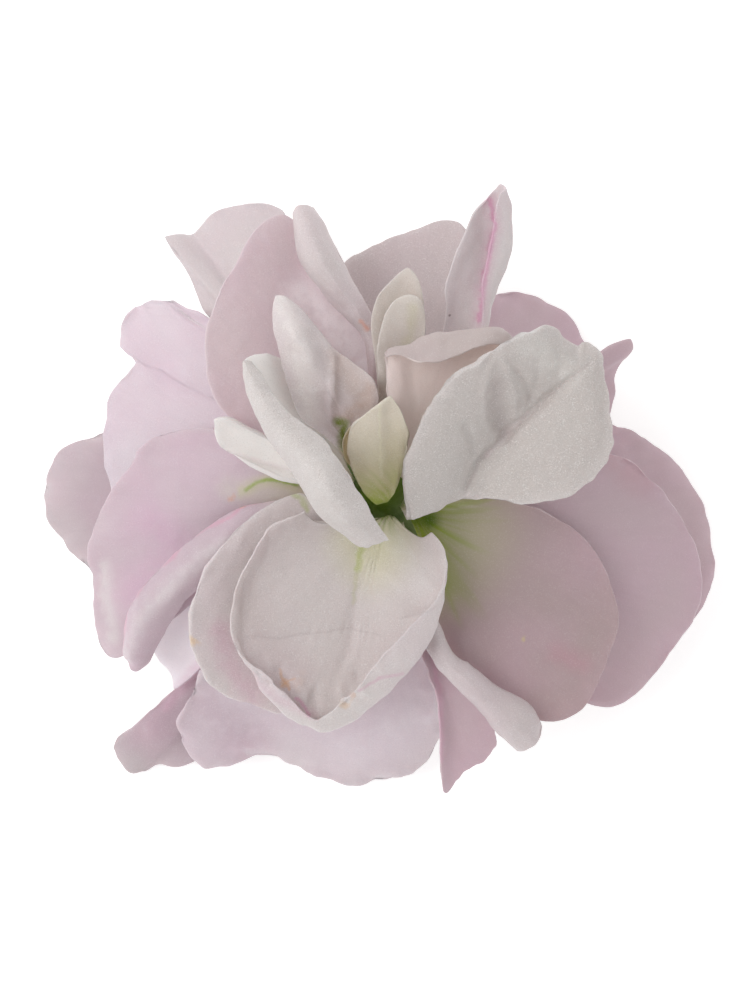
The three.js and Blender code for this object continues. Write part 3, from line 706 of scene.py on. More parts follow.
@dataclass
class Piece:
    """One piece of the bloom, which replaces its CAD node."""

    node: str
    ending: ClassVar[str]

    def build(self) -> bpy.types.Object:
        """Copies the CAD node, shapes and dresses the copy, and puts it in the node's place.

        Returns:
            The finished piece.
        """
        piece = self.bare_copy()
        self.shape(piece)
        piece.data.materials.append(self.skin())
        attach(piece, "root")
        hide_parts(self.node)
        return piece

    def shape(self, piece: bpy.types.Object) -> None:
        """Shapes the copy."""
        raise NotImplementedError

    def skin(self) -> bpy.types.Material:
        """Makes the piece's material."""
        raise NotImplementedError

    def bare_copy(self) -> bpy.types.Object:
        """Copies the CAD node's mesh into a new object, merges its doubles and leaves it alone selected.

        Returns:
            The new object.
        """
        bpy.ops.object.select_all(action="DESELECT")
        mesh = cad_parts[self.node].data.copy()
        mesh.materials.clear()
        piece = bpy.data.objects.new(self.node + self.ending, mesh)
        bpy.context.scene.collection.objects.link(piece)
        bpy.context.view_layer.objects.active = piece
        piece.select_set(True)
        bpy.ops.object.mode_set(mode="EDIT")
        bpy.ops.mesh.select_all(action="SELECT")
        bpy.ops.mesh.remove_doubles(threshold=DOUBLES * MM)
        bpy.ops.object.mode_set(mode="OBJECT")
        return piece

    def draw_in(self, cut: float, crease: float) -> None:
        """Brings the faces of the active object in, makes quads and holds its sharp edges.

        Args:
            cut: How far every face moves in, in millimetres.
            crease: How firmly the sharp edges are held when the mesh is rounded off.
        """
        bpy.ops.object.mode_set(mode="EDIT")
        bpy.ops.mesh.select_all(action="SELECT")
        bpy.ops.transform.shrink_fatten(value=-cut * MM, use_even_offset=False)
        bpy.ops.mesh.tris_convert_to_quads(face_threshold=QUAD_FACES, shape_threshold=QUAD_SHAPE)
        bpy.ops.mesh.select_all(action="DESELECT")
        bpy.ops.mesh.select_mode(type="EDGE")
        bpy.ops.mesh.edges_select_sharp(sharpness=SHARP)
        bpy.ops.transform.edge_crease(value=crease)
        bpy.ops.object.mode_set(mode="OBJECT")

    def round_off(self, piece: bpy.types.Object, levels: int) -> None:
        """Subdivides a piece and shades it smooth.

        Args:
            piece: The piece, which is active and selected.
            levels: How many times each face is divided.
        """
        rounding = piece.modifiers.new("rounding", "SUBSURF")
        rounding.levels = rounding.render_levels = levels
        bpy.ops.object.modifier_apply(modifier=rounding.name)
        bpy.ops.object.shade_smooth()


@dataclass
class Petal(Piece):
    """One petal, with its ruffles, creases and marks in millimetres."""

    ring: Ring
    finish: PetalFinish
    seed: int
    detail: Detail = Detail.BEHIND
    ruffle: float = 0.12
    ruffle_length: float = 4.0
    ragged: float = 0.1
    ragged_length: float = 2.6
    wrinkle: float = 0.03
    wrinkle_length: float = 3.4
    wrinkle_valley: float = 1.6
    margin_band: float = 1.6
    open_from: float = 1.5
    open_over: float = 4.0
    folds: Sequence[Fold] = field(default_factory=tuple)
    marks: Sequence[Mark] = field(default_factory=tuple)
    nudges: Sequence[Nudge] = field(default_factory=tuple)
    cut: float = 0.17
    crease: float = 0.5
    pinch: float = 0.3
    foot: np.ndarray = field(init=False, repr=False)
    rim: kdtree.KDTree = field(init=False, repr=False)
    along: np.ndarray = field(init=False, repr=False)
    margin: np.ndarray = field(init=False, repr=False)
    ending: ClassVar[str] = "_petal"

    def shape(self, piece: bpy.types.Object) -> None:
        """Thins, rounds and crimps the petal's shell.

        Args:
            piece: The bare copy of the CAD node.
        """
        self.shift(piece.data)
        self.foot = self.find_foot(piece.data)
        self.rim = self.find_rim(piece.data)
        self.mark_back(piece.data)
        self.draw_in(self.cut, self.crease)
        self.sharpen(piece.data)
        self.round_off(piece, self.detail.value)
        self.measure(piece.data)
        self.crimp(piece.data)

    def skin(self) -> bpy.types.Material:
        """Makes the petal's material."""
        return self.finish.material(self.node + "_skin", self.seed, self.marks)

    def shift(self, mesh: bpy.types.Mesh) -> None:
        """Shifts the petal where it is nudged."""
        start = places_of(mesh)
        set_places(mesh, start + sum((nudge.at(start) for nudge in self.nudges), np.zeros_like(start)))

    def find_foot(self, mesh: bpy.types.Mesh) -> np.ndarray:
        """Finds the foot of the claw, the lowest place near the bloom's axis.

        Args:
            mesh: The petal's mesh.

        Returns:
            Its x, y and z in millimetres.
        """
        places = places_of(mesh)
        near = places[np.hypot(places[:, 0], places[:, 1]) < CLAW_RING]
        lowest = near[near[:, 2] < near[:, 2].min() + FOOT_DEPTH]
        return lowest.mean(axis=0)

    def find_rim(self, mesh: bpy.types.Mesh) -> kdtree.KDTree:
        """Collects points along the sharp edges of the margin, to measure distances from.

        Args:
            mesh: The petal's mesh.

        Returns:
            The points, in millimetres, ready to be searched.
        """
        shell = bmesh.new()
        shell.from_mesh(mesh)
        points = []
        for edge in shell.edges:
            if len(edge.link_faces) == 2 and edge.calc_face_angle(0.0) > SHARP:
                a, b = (v.co / MM for v in edge.verts)
                steps = max(1, math.ceil((b - a).length / RIM_STEP))
                points += [a.lerp(b, i / steps) for i in range(steps + 1)]
        shell.free()
        tree = kdtree.KDTree(len(points))
        for i, point in enumerate(points):
            tree.insert(point, i)
        tree.balance()
        return tree

    def sides_of(self, shell: bmesh.types.BMesh) -> list[list[bmesh.types.BMFace]]:
        """Splits a petal's shell along its sharp edges.

        Args:
            shell: The shell.

        Returns:
            The faces of its two largest sides.
        """
        shell.faces.ensure_lookup_table()
        left = set(range(len(shell.faces)))
        regions = []
        while left:
            front = [left.pop()]
            region = []
            while front:
                face = shell.faces[front.pop()]
                region.append(face)
                for edge in face.edges:
                    if edge.calc_face_angle(math.pi) > SHARP:
                        continue
                    for other in edge.link_faces:
                        if other.index in left:
                            left.discard(other.index)
                            front.append(other.index)
            regions.append(region)
        return sorted(regions, key=lambda region: -sum(face.calc_area() for face in region))[:2]

    def mark_back(self, mesh: bpy.types.Mesh) -> None:
        """Stores 1 at the vertices of the petal's outer side and 0 at those of the side that faces the axis.

        Args:
            mesh: The petal's mesh.
        """
        shell = bmesh.new()
        shell.from_mesh(mesh)
        layer = shell.verts.layers.float.new("back")
        eye = Vector((0, 0, EYE_HEIGHT * MM))
        foot = Vector(self.foot) * MM

        def facing(region: list[bmesh.types.BMFace]) -> float:
            """Tells how much of a side, near the foot, turns to the axis above the bloom.

            Args:
                region: The side's faces.

            Returns:
                Its area that faces the axis, in square metres.
            """
            total = 0.0
            for face in region:
                middle = face.calc_center_median()
                weight = 1 / (1 + ((middle - foot).length / (FOOT_REACH * MM)) ** 4)
                total += weight * face.calc_area() * face.normal.dot((eye - middle).normalized())
            return total

        for face in min(self.sides_of(shell), key=facing):
            for vertex in face.verts:
                vertex[layer] = 1.0
        shell.to_mesh(mesh)
        shell.free()

    def sharpen(self, mesh: bpy.types.Mesh) -> None:
        """Brings the two edges of the margin together, so that the blade runs out thin.

        Args:
            mesh: The petal's mesh.
        """
        shell = bmesh.new()
        shell.from_mesh(mesh)
        layer = shell.verts.layers.float["back"]
        moves = []
        for vertex in shell.verts:
            across = [edge for edge in vertex.link_edges
                      if abs(edge.other_vert(vertex)[layer] - vertex[layer]) > 0.5]
            if across:
                wall = min(across, key=lambda edge: edge.calc_length())
                if wall.calc_length() < WALL * MM:
                    moves.append((vertex, vertex.co.lerp(wall.other_vert(vertex).co, self.pinch)))
        for vertex, target in moves:
            vertex.co = target
        shell.to_mesh(mesh)
        shell.free()

    def measure(self, mesh: bpy.types.Mesh) -> None:
        """Stores each vertex's angle in the fan of veins and its distances from the claw and the margin.

        Args:
            mesh: The petal's mesh.
        """
        places = places_of(mesh)
        mouth = self.foot + np.array([0, 0, self.ring.value])
        mouth_reach, least_forward = 2.0, 0.6
        away = places - mouth
        blade = away[np.linalg.norm(away, axis=1) > mouth_reach]
        forward = blade.mean(axis=0)
        forward /= np.linalg.norm(forward)
        flat = blade - np.outer(blade @ forward, forward)
        across = np.linalg.svd(flat - flat.mean(axis=0), full_matrices=False)[2][0]
        fan = np.arctan2(away @ across, np.maximum(away @ forward, least_forward))
        self.along = np.maximum(0, np.linalg.norm(places - self.foot, axis=1) - self.ring.value)
        self.margin = np.array([self.rim.find(p)[2] for p in places])
        values = np.column_stack([fan, self.along, self.margin]).astype(np.float32)
        mesh.attributes.new("blade", "FLOAT_VECTOR", "POINT").data.foreach_set("vector", values.ravel())

    def crimp(self, mesh: bpy.types.Mesh) -> None:
        """Ruffles the margin, draws its line unevenly, and puckers and creases the blade.

        Args:
            mesh: The petal's mesh.
        """
        places = places_of(mesh)
        back = np.empty(len(places), dtype=np.float32)
        mesh.attributes["back"].data.foreach_get("value", back)
        front = normals_of(mesh) * (1 - 2 * back)[:, None]
        open_blade = np.clip((self.along - self.open_from) / self.open_over, 0, 1)
        edge = np.exp(-((self.margin / self.margin_band) ** 2)) * open_blade
        rise = self.ruffle * edge * Ripple(self.seed).at(places, self.ruffle_length)
        creases = Ripple(self.seed + WRINKLE_SEEDS).at(places, self.wrinkle_length)
        rise += self.wrinkle * open_blade * (1 - np.abs(creases) * self.wrinkle_valley)
        for fold in self.folds:
            rise += fold.at(places)
        outward = places - places.mean(axis=0)
        outward[:, 2] = 0
        outward /= np.linalg.norm(outward, axis=1, keepdims=True) + 1e-6
        notch = self.ragged * edge * Ripple(self.seed + NOTCH_SEEDS).at(places, self.ragged_length)
        set_places(mesh, places + front * rise[:, None] + outward * notch[:, None])


@dataclass
class GreenPiece(Piece):
    """A sepal, or the receptacle with its stalk."""

    finish: GreenFinish
    crease: float = 0.3
    cut: float = 0.08
    levels: int = 2
    ending: ClassVar[str] = "_skin"

    def shape(self, piece: bpy.types.Object) -> None:
        """Draws the piece in and rounds it off."""
        self.draw_in(self.cut, self.crease)
        self.round_off(piece, self.levels)

    def skin(self) -> bpy.types.Material:
        """Makes the piece's material."""
        return self.finish.material(self.node + "_green")


# Colours of marks

RUST = linear(218, 170, 122)
MAGENTA = linear(208, 138, 176)
PINK_LINE = linear(208, 164, 184)
RED_LINE = linear(216, 158, 180)
GREEN_LINE = linear(168, 182, 104)
# Painted highlight on folds, rolls and walls.
PAINTED_HIGHLIGHT = linear(226, 222, 220)
# Painted shade in creases and hollows.
PAINTED_SHADE = linear(166, 152, 152)


# The bloom's parts, from the outside in


@dataclass
class Part:
    """A part of the bloom, which lists its pieces and builds them."""

    def pieces(self) -> Sequence[Piece]:
        """Lists the part's pieces, in the order in which they are built."""
        raise NotImplementedError

    def build(self) -> list[bpy.types.Object]:
        """Builds every piece and returns them."""
        return [piece.build() for piece in self.pieces()]


@dataclass
class OuterRing(Part):
    """The petals that arch down behind the rest."""

    ring: Ring = Ring.OUTER
    # A pink band along the fold, partly painted shade in the fold.
    band: Stroke = Stroke(((-15.2, -15.2), (-12.7, -12.4), (-11.8, -11.6)), 0.8, PINK_LINE, 0.4)

    def left_marks(self) -> tuple[Mark, ...]:
        """Lists the marks on the left petal.

        Returns:
            A painted highlight along its folded margin, a pale band, the green line under the small petal
            and a stain.
        """
        glow = ((-9.6, 0.1), (-8.6, 0.6), (-7.8, 0.8), (-6.8, 0.7), (-5.8, 0.3))
        line = ((-9.4, 0.2), (-8.6, 0.7), (-7.8, 0.85), (-6.8, 0.75), (-5.8, 0.4))
        return (
            # Painted highlight along the folded left margin.
            Stroke(((-19.4, -5.2), (-19.3, -7.6), (-18.8, -10.4)), 0.8, PAINTED_HIGHLIGHT, 0.5),
            Stroke(((-16.0, -2.0), (-14.5, -4.0), (-17.0, -7.0)), 2.6, linear(212, 174, 198), 0.4),
            Stroke(((-10.5, 0.2), (-7.0, -0.2), (-5.6, -0.8)), 1.5, linear(216, 210, 200), 0.5),
            Stroke(glow, 0.8, linear(206, 208, 160), 0.5),
            Stroke(line, 0.24, linear(150, 176, 66), 0.8),
            Blemish(-10.4, -0.5, 0.4, linear(224, 176, 150), 0.6),
        )

    def pieces(self) -> Sequence[Piece]:
        """Lists the ring's petals.

        Returns:
            The petals, in the order in which they are built.
        """
        ring, front = self.ring, Detail.IN_FRONT
        shade = Stroke(((-13.0, -15.0), (-9.6, -17.6)), 3.4, linear(180, 154, 166), 0.5)
        light = Stroke(((-2.0, -18.4), (3.0, -16.2)), 2.6, linear(230, 222, 227), 0.45)
        glow = Stroke(((16.2, 3.4), (18.4, 1.0)), 2.2, linear(196, 150, 158), 0.35)
        return [
            Petal("outer_petal_right_low", ring, Finishes.DUSKY, 1, ruffle=0.25),
            Petal("outer_petal_far_left", ring, Finishes.SILVER, 2, ruffle=0.25),
            Petal("outer_petal_bottom_left", ring, Finishes.ASHEN, 3, ruffle=0.3, ragged=0.2,
                  marks=(self.band,)),
            Petal("outer_petal_lower_left", ring, Finishes.PAINTED_LIGHT_PINK, 4, marks=(self.band,)),
            Petal("outer_petal_upper_right", ring, Finishes.DUSKY, 5, ruffle=0.2),
            Petal("outer_petal_right_curled", ring, Finishes.DUSKY, 6),
            Petal("outer_petal_top", ring, Finishes.ROLLED, 7),
            Petal("outer_petal_top_left", ring, Finishes.BLUSH, 8, ruffle=0.2),
            Petal("outer_petal_upper_left", ring, Finishes.PALE, 9, ruffle=0.25, ragged=0.16),
            Petal("outer_petal_bottom", ring, Finishes.PALE, 10, front, ruffle=0.28, ragged=0.16,
                  wrinkle=0.05, marks=(shade, light)),
            Petal("outer_petal_right", ring, Finishes.DUSKY, 11, ruffle=0.2, marks=(glow,)),
            Petal("outer_petal_left", ring, Finishes.LILAC, 12, front, marks=self.left_marks()),
        ]


@dataclass
class MiddleRing(Part):
    """The petals between the outer and the inner ring."""

    ring: Ring = Ring.MIDDLE
    # Line of the painted magenta shadow under the folded-over flap of the top right petal.
    flap_shadow_line: tuple[Plan, ...] = ((7.7, 20.3), (8.1, 18.6), (7.6, 16.0), (7.2, 14.0), (7.0, 11.8))
    red_edge: tuple[Plan, ...] = (
        (-6.2, -0.2), (-9.4, -1.0), (-10.8, -2.0), (-12.2, -2.7), (-13.9, -3.8), (-14.5, -4.7),
        (-16.0, -5.7), (-17.8, -8.3), (-18.3, -11.7))

    def upper_petals(self) -> list[Petal]:
        """Lists the three petals at the top of the bloom.

        Returns:
            The petals, in the order in which they are built.
        """
        ring, front = self.ring, Detail.IN_FRONT
        spear = (
            # Painted shadow under the folded-over flap, magenta at the line and pinker round it.
            Stroke(self.flap_shadow_line, 0.32, MAGENTA, 0.7),
            Stroke(self.flap_shadow_line, 0.9, PINK_LINE, 0.4),
            Blemish(4.9, 12.2, 0.12, linear(96, 70, 70), 0.7),
        )
        # Painted light on the right flank, which lies in the shade of the petals over it.
        painted_light_flank = ((-5.4, 13.8), (-3.2, 11.8), (-1.6, 9.8), (-0.9, 8.4))
        rolled = (
            Stroke(((-4.4, 12.4), (-1.8, 10.0), (-0.6, 7.6)), 1.7, linear(208, 182, 186), 0.8),
            Stroke(((-1.3, 11.9), (-0.8, 11.4)), 0.28, linear(226, 150, 116), 0.6),
        )
        return [
            Petal("middle_petal_top_right", ring, Finishes.BLUSH, 13, front, marks=spear),
            Petal("middle_petal_top_left", ring, Finishes.ROSE, 14, front,
                  marks=(Stroke(painted_light_flank, 2.3, linear(250, 238, 241), 0.7),)),
            Petal("middle_petal_top_rolled", ring, Finishes.WARM, 15, front, marks=rolled),
        ]

    def left_petals(self) -> list[Petal]:
        """Lists the cup and the rolled petal on the left.

        Returns:
            Both petals.
        """
        ring, front = self.ring, Detail.IN_FRONT
        cup = (
            Stroke(((-11.0, -9.8), (-10.6, -12.0), (-8.8, -14.3)), 1.5, PINK_LINE, 0.4),
            Stroke(((-6.2, -0.2), (-5.4, -0.6), (-5.0, -1.4)), 0.35, GREEN_LINE, 0.6),
            Blemish(-13.1, -10.4, 0.45, linear(220, 190, 150), 0.6),
        )
        # Painted highlight along the crest of the roll.
        roll_highlight_line = ((-10.8, -3.8), (-13.9, -6.2), (-16.7, -9.0), (-17.8, -11.5))
        rolled = (
            Stroke(roll_highlight_line, 1.1, PAINTED_HIGHLIGHT, 0.4),
            Stroke(self.red_edge, 0.3, RED_LINE, 0.6),
            Blemish(-9.6, -1.0, 0.4, linear(230, 172, 140), 0.6),
        )
        return [
            Petal("middle_petal_lower_left_cup", ring, Finishes.WARM, 16, front, marks=cup),
            Petal("middle_petal_left_rolled", ring, Finishes.ORCHID, 17, front, ragged=0.16, marks=rolled),
        ]

    def pieces(self) -> Sequence[Piece]:
        """Lists the ring's petals.

        Returns:
            The petals, in the order in which they are built.
        """
        ring, front = self.ring, Detail.IN_FRONT
        lower_right = (
            Stroke(((12.6, -11.4), (14.2, -12.2)), 1.4, linear(190, 140, 154), 0.35),
            Stroke(((1.6, -1.4), (2.8, -1.7), (3.6, -2.0)), 1.1, linear(84, 114, 0), 0.95),
            Blemish(10.2, -10.3, 0.3, linear(206, 192, 130), 0.5),
        )
        edge = Stroke(((3.9, -11.9), (4.3, -15.0), (4.4, -19.0)), 0.4, PINK_LINE, 0.5)
        return [
            *self.upper_petals(),
            *self.left_petals(),
            Petal("middle_petal_lower_right", ring, Finishes.SHADY, 18, front, marks=lower_right,
                  nudges=(Nudge((4.9, -9.7, 11.8), 2.0, (-0.9, 0.0, 0.0)),)),
            Petal("middle_petal_bottom_pointed", ring, Finishes.DUSKY, 19, ragged=0.16, marks=(edge,)),
            Petal("middle_petal_bottom_rolled", ring, Finishes.ROLLED, 20, front),
            Petal("middle_petal_left_small", ring, Finishes.PAINTED_LIGHT_WHITE, 21),
            Petal("middle_petal_top_cream", ring, Finishes.CREAM, 22),
        ]


@dataclass
class InnerRing(Part):
    """The mostly white petals round the heart, with the folds of the two large ones."""

    ring: Ring = Ring.INNER
    large_crease: tuple[Plan, ...] = (
        (6.0, -0.1), (7.0, 2.0), (8.3, 3.5), (10.1, 4.9), (11.5, 6.3), (13.2, 7.7), (14.6, 8.9))
    bowl_crease: tuple[Plan, ...] = (
        (-10.4, -10.4), (-8.3, -10.2), (-6.9, -10.3), (-5.5, -10.0), (-3.6, -9.9), (-2.0, -9.6),
        (0.1, -10.1), (1.3, -10.4))
    bowl_side_crease: tuple[Plan, ...] = ((1.5, -8.9), (2.9, -8.5), (3.9, -8.0))
    bowl_midrib: tuple[Plan, ...] = (
        (-1.2, -4.0), (-1.5, -6.2), (-1.9, -9.0), (-2.1, -11.0), (-2.9, -12.8))
    ridge: tuple[Plan, ...] = ((-7.0, 13.7), (-5.5, 12.4), (-3.2, 9.3), (-3.3, 4.9))

    def large_folds(self) -> tuple[Fold, ...]:
        """Lists the folds of the large right petal.

        Returns:
            Its crease, the oval hollow and the ridges and dips round it.
        """
        return (
            Fold(self.large_crease, 0.26, -0.36),
            Fold(((8.3, 7.8), (8.2, 6.0), (8.7, 3.8)), 0.7, -0.45),
            Fold(((8.0, 9.4), (7.6, 8.2), (7.2, 6.6), (7.4, 4.9), (8.2, 3.5)), 0.25, 0.16),
            Fold(((8.2, 9.6), (9.0, 8.2), (9.4, 6.6), (9.4, 5.2)), 0.22, 0.2),
            Fold(((9.2, 8.6), (10.2, 7.4), (10.6, 6.2)), 0.25, -0.24),
            Fold(((6.0, 4.8), (6.5, 3.4), (6.6, 2.4)), 0.35, -0.2),
            Fold(((10.4, 5.4), (11.0, 7.8), (11.0, 9.4)), 0.25, -0.16),
            Fold(((12.2, 10.4), (12.6, 9.0), (12.4, 7.6)), 0.35, -0.2),
            Fold(((9.4, 1.0), (12.2, 1.6)), 0.6, -0.12),
        )

    def large_marks(self) -> tuple[Mark, ...]:
        """Lists the marks of the large right petal.

        Returns:
            The shade of its crease and hollow, and the light on its shoulder.
        """
        return (
            # Painted shade in the crease and the oval hollow, and a painted highlight on the shoulder.
            Stroke(self.large_crease, 0.16, PAINTED_SHADE, 0.3),
            Stroke(((8.2, 7.6), (8.1, 6.2), (8.3, 5.0), (8.8, 3.8)), 1.1, PAINTED_SHADE, 0.3),
            Stroke(((10.2, 10.4), (11.8, 9.0), (13.0, 8.2)), 1.7, linear(234, 232, 228), 0.3),
        )

    def bowl_folds(self) -> tuple[Fold, ...]:
        """Lists the folds of the cup.

        Returns:
            Its two cross creases, its midrib, a swelling and its crumpled lip.
        """
        return (
            Fold(self.bowl_crease, 0.2, -0.1),
            Fold(self.bowl_side_crease, 0.22, -0.12),
            Fold(self.bowl_midrib, 0.35, -0.08),
            Fold(((-1.0, -4.6), (0.4, -6.0), (2.3, -7.6)), 0.7, 0.18),
            Fold(((-8.8, -12.6), (-7.4, -13.6)), 0.35, 0.25),
            Fold(((-7.2, -12.2), (-6.4, -14.4)), 0.3, -0.3),
            Fold(((-6.0, -13.0), (-5.0, -14.9)), 0.3, 0.25),
            Fold(((-4.6, -13.8), (-4.4, -15.6)), 0.25, -0.22),
            Fold(((-2.9, -13.6), (-2.2, -15.2)), 0.3, 0.2),
            Fold(((-1.8, -12.8), (-0.8, -14.4)), 0.3, -0.2),
        )

    def bowl_marks(self) -> tuple[Mark, ...]:
        """Lists the marks of the cup.

        Returns:
            Painted shade along its creases and midrib, its green midrib, painted light and shade on its
            walls, pink edges and rust.
        """
        outer_wall = ((4.2, -8.0), (2.2, -10.6), (0.4, -12.8), (-1.8, -14.8), (-3.4, -15.6))
        return (
            # Painted shade along the two cross creases.
            Stroke(((-8.6, -10.2), *self.bowl_crease[2:7]), 0.14, PAINTED_SHADE, 0.2),
            Stroke(self.bowl_side_crease, 0.14, PAINTED_SHADE, 0.2),
            Stroke(((-1.1, -3.6), (-1.35, -4.6), (-1.5, -5.4)), 0.42, linear(176, 188, 96), 0.6),
            Stroke(((-1.4, -4.6), (-1.6, -6.4), (-1.8, -7.8)), 0.3, linear(196, 196, 150), 0.35),
            # Painted shade along the midrib's fold.
            Stroke(self.bowl_midrib, 0.2, PAINTED_SHADE, 0.1),
            # Painted highlights on the outer wall and on the right side, and painted shade on the left wall.
            Stroke(outer_wall, 1.5, PAINTED_HIGHLIGHT, 0.15),
            Stroke(((1.0, -3.0), (3.0, -5.4), (3.4, -6.6)), 1.8, PAINTED_HIGHLIGHT, 0.3),
            Stroke(((-9.2, -7.6), (-8.4, -10.4), (-5.6, -12.4)), 2.2, linear(190, 172, 172), 0.3),
            Stroke(((-9.4, -12.6), (-7.4, -14.2), (-4.6, -15.8)), 0.7, PINK_LINE, 0.25),
            Stroke(((-5.7, -14.5), (-5.2, -15.2), (-4.8, -15.8)), 0.22, MAGENTA, 0.5),
            Stroke(((-1.4, -14.0), (0.1, -13.0), (1.6, -12.7)), 0.22, PINK_LINE, 0.5),
            Stroke(((-7.0, -12.4), (-6.7, -13.2), (-6.2, -13.8)), 0.16, RUST, 0.5),
            Stroke(((-6.9, -13.5), (-6.5, -13.2), (-5.9, -13.0)), 0.13, RUST, 0.4),
            Blemish(-6.6, -13.3, 0.42, RUST, 0.45),
            Blemish(-5.6, -13.4, 0.9, linear(214, 192, 180), 0.35),
            Blemish(-2.4, -15.0, 0.5, linear(218, 188, 156), 0.5),
            Blemish(-1.8, -14.4, 0.3, linear(214, 180, 160), 0.5),
        )

    def upper_left_marks(self) -> tuple[Mark, ...]:
        """Lists the marks of the upper left petal.

        Returns:
            Painted shade and painted light beside its ridge, a warm band of painted shade along its lower
            edge, and an olive band painted where the green throat shows in the shade of a gap.
        """
        # light is painted light on the left panel; foot is an olive band painted where the green throat
        # shows through a gap, in its shade.
        light = ((-7.1, 13.8), (-5.9, 11.0), (-5.2, 8.0), (-4.8, 5.4))
        foot = ((-2.8, 4.9), (-2.4, 4.8), (-2.6, 3.6), (-2.4, 2.3))
        return (
            # Painted shade on the right panel and beside the ridge, painted light on the left panel, a warm
            # band of painted shade along the lower edge, and the olive band of the gap.
            Stroke(((-2.6, 9.0), (-1.7, 7.4), (-1.2, 5.8)), 1.7, linear(188, 166, 156), 0.5),
            Stroke(((-2.9, 9.2), (-3.0, 7.2), (-3.0, 5.4)), 0.5, linear(180, 162, 156), 0.4),
            Stroke(light, 1.5, linear(240, 234, 230), 0.55),
            Stroke(((-0.5, 7.0), (-1.0, 5.9), (-2.4, 5.1)), 1.0, linear(212, 186, 172), 0.4),
            Stroke(foot, 0.55, linear(120, 138, 12), 1.0),
        )

    def pieces(self) -> Sequence[Piece]:
        """Lists the ring's petals.

        Returns:
            The petals, in the order in which they are built.
        """
        ring, front = self.ring, Detail.IN_FRONT
        greenish = Stroke(((2.4, 12.6), (1.8, 9.5)), 0.7, linear(196, 194, 152), 0.3)
        pleats = (Fold(((1.4, 8.8), (2.2, 5.4)), 0.3, 0.04), Fold(((2.6, 8.6), (3.0, 5.6)), 0.3, 0.04))
        return [
            Petal("inner_petal_top_cream", ring, Finishes.CREAM, 23, marks=(greenish,)),
            Petal("inner_petal_left_hood", ring, Finishes.PAINTED_LIGHT_WHITE, 24),
            Petal("inner_petal_bottom_cup", ring, Finishes.BOWL, 25, front, folds=self.bowl_folds(),
                  marks=self.bowl_marks()),
            Petal("inner_petal_upper_left", ring, Finishes.WARM, 26, front,
                  folds=(Fold(self.ridge, 0.3, 0.3),), marks=self.upper_left_marks()),
            Petal("inner_petal_upper_right_rolled", ring, Finishes.HOODED_PAINTED_LIGHT, 27, front, folds=pleats),
            Petal("inner_petal_right_large", ring, Finishes.WHITE, 30, front, ragged=0.18, wrinkle=0.06,
                  wrinkle_length=2.6, folds=self.large_folds(), marks=self.large_marks()),
            Petal("inner_petal_front_folded", ring, Finishes.FOLDED, 31, front, ragged=0.14),
        ]


@dataclass
class Heart(Part):
    """The two small petals round the throat."""

    ring: Ring = Ring.HEART

    def pieces(self) -> Sequence[Piece]:
        """Lists the ring's petals.

        Returns:
            The petals, in the order in which they are built.
        """
        midrib = Stroke(((0.0, 6.2), (0.1, 3.4), (0.2, 1.0)), 0.16, linear(232, 228, 200), 0.4)
        wider_foot = (
            Nudge((-1.4, 0.7, 17.5), 1.7, (-0.6, -0.3, 0.0)),
            Nudge((0.9, 0.2, 17.5), 1.3, (0.25, -0.2, 0.0)),
        )
        return [
            Petal("heart_petal_left", self.ring, Finishes.TAN, 28),
            Petal("heart_petal_centre", self.ring, Finishes.THROAT, 29, Detail.IN_FRONT, marks=(midrib,),
                  nudges=wider_foot),
        ]


@dataclass
class Calyx(Part):
    """The sepals, and the receptacle with the cut stalk."""

    sepals: int = 4
    sepal: GreenFinish = GreenFinish(body=linear(96, 122, 58), pale=linear(128, 146, 86))
    # The stalk's heart colour is painted light in the throat.
    stalk: GreenFinish = GreenFinish(body=linear(100, 128, 52), pale=linear(124, 148, 76),
                                     heart=linear(124, 160, 4), hair_share=0.1, sheen=0.1)

    def pieces(self) -> Sequence[Piece]:
        """Lists the sepals, and then the receptacle."""
        sepals = [GreenPiece(f"sepal_{number}", self.sepal) for number in range(1, self.sepals + 1)]
        return [*sepals, GreenPiece("receptacle_and_stalk", self.stalk, cut=0.0)]


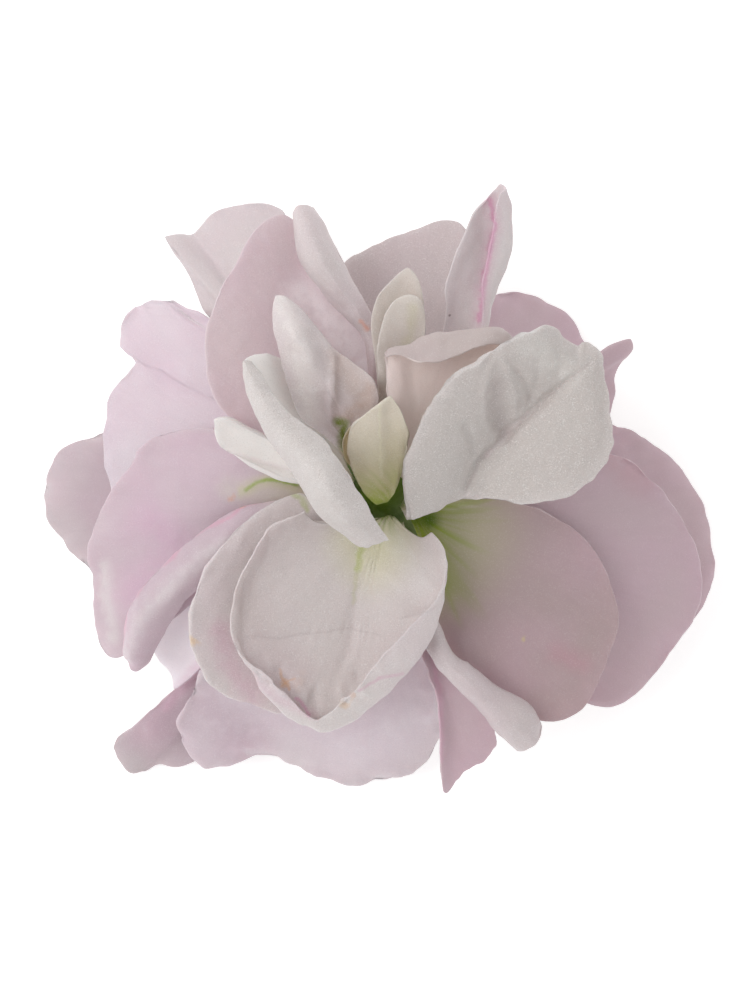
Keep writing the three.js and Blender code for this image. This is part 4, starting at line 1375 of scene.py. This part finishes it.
@dataclass
class Studio:
    """The floor, the lights and the camera, in metres, with the sensor in millimetres."""

    floor_half: float = 1.5
    floor_drop: float = 0.05 * MM
    floor_white: float = 0.9
    floor_glow: float = 0.45
    pixel: float = 0.07 * MM
    pixels_high: int = 1000
    sensor: float = 36.0
    view_height: float = 0.6
    focus_height: float = 0.014
    view_centre: Plan = (-0.28 * MM, -0.63 * MM)
    sky: float = 0.7
    key_power: float = 2.7
    key_size: float = 0.6
    key_place: Place = (-0.5, 0.12, 0.72)
    key_aim: Place = (0.0, 0.0, 0.01)

    def floor(self) -> None:
        """Lays a plain white floor that glows a little."""
        bpy.ops.object.select_all(action="DESELECT")
        bpy.ops.mesh.primitive_plane_add(size=2 * self.floor_half, location=(0, 0, -self.floor_drop))
        plane = bpy.context.object
        plane.name = "floor"
        bench = Bench("floor_white")
        bench.feed("Base Color", (*[self.floor_white] * 3, 1.0))
        bench.feed("Roughness", 0.9)
        bench.feed("Specular IOR Level", 0.1)
        bench.feed("Emission Color", (1.0, 1.0, 1.0, 1.0))
        bench.feed("Emission Strength", self.floor_glow)
        plane.data.materials.append(bench.material)

    def lights(self) -> None:
        """Puts a broad soft lamp on the left, and even light all round."""
        world = bpy.data.worlds.new("studio")
        bpy.context.scene.world = world
        world.use_nodes = True
        background = world.node_tree.nodes["Background"].inputs
        background["Color"].default_value = (1.0, 1.0, 1.0, 1.0)
        background["Strength"].default_value = self.sky
        lamp = bpy.data.lights.new("key", "AREA")
        lamp.shape, lamp.size, lamp.energy = "DISK", self.key_size, self.key_power
        key = bpy.data.objects.new("key", lamp)
        key.location = self.key_place
        key.rotation_euler = (Vector(self.key_aim) - key.location).to_track_quat("-Z", "Y").to_euler()
        bpy.context.scene.collection.objects.link(key)

    def camera(self) -> None:
        """Hangs the camera straight above the bloom, turned as in the photograph."""
        lens = bpy.data.cameras.new("camera")
        lens.sensor_width = self.sensor
        distance = self.view_height - self.focus_height
        lens.lens = self.sensor * distance / (self.pixels_high * self.pixel)
        eye = bpy.data.objects.new("camera", lens)
        eye.location = (*self.view_centre, self.view_height)
        bpy.context.scene.collection.objects.link(eye)
        bpy.context.scene.camera = eye

    def build(self) -> None:
        """Sets up the whole studio."""
        self.camera()
        self.floor()
        self.lights()
        bpy.context.scene.view_settings.view_transform = "Standard"


def main() -> None:
    """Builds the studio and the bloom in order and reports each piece."""
    logging.basicConfig(level=logging.INFO, format="%(name)s: %(message)s")
    Studio().build()
    for part in (OuterRing(), MiddleRing(), InnerRing(), Heart(), Calyx()):
        for piece in part.build():
            LOG.info("%s: %d faces", piece.name, len(piece.data.polygons))


if __name__ == "__main__":
    main()
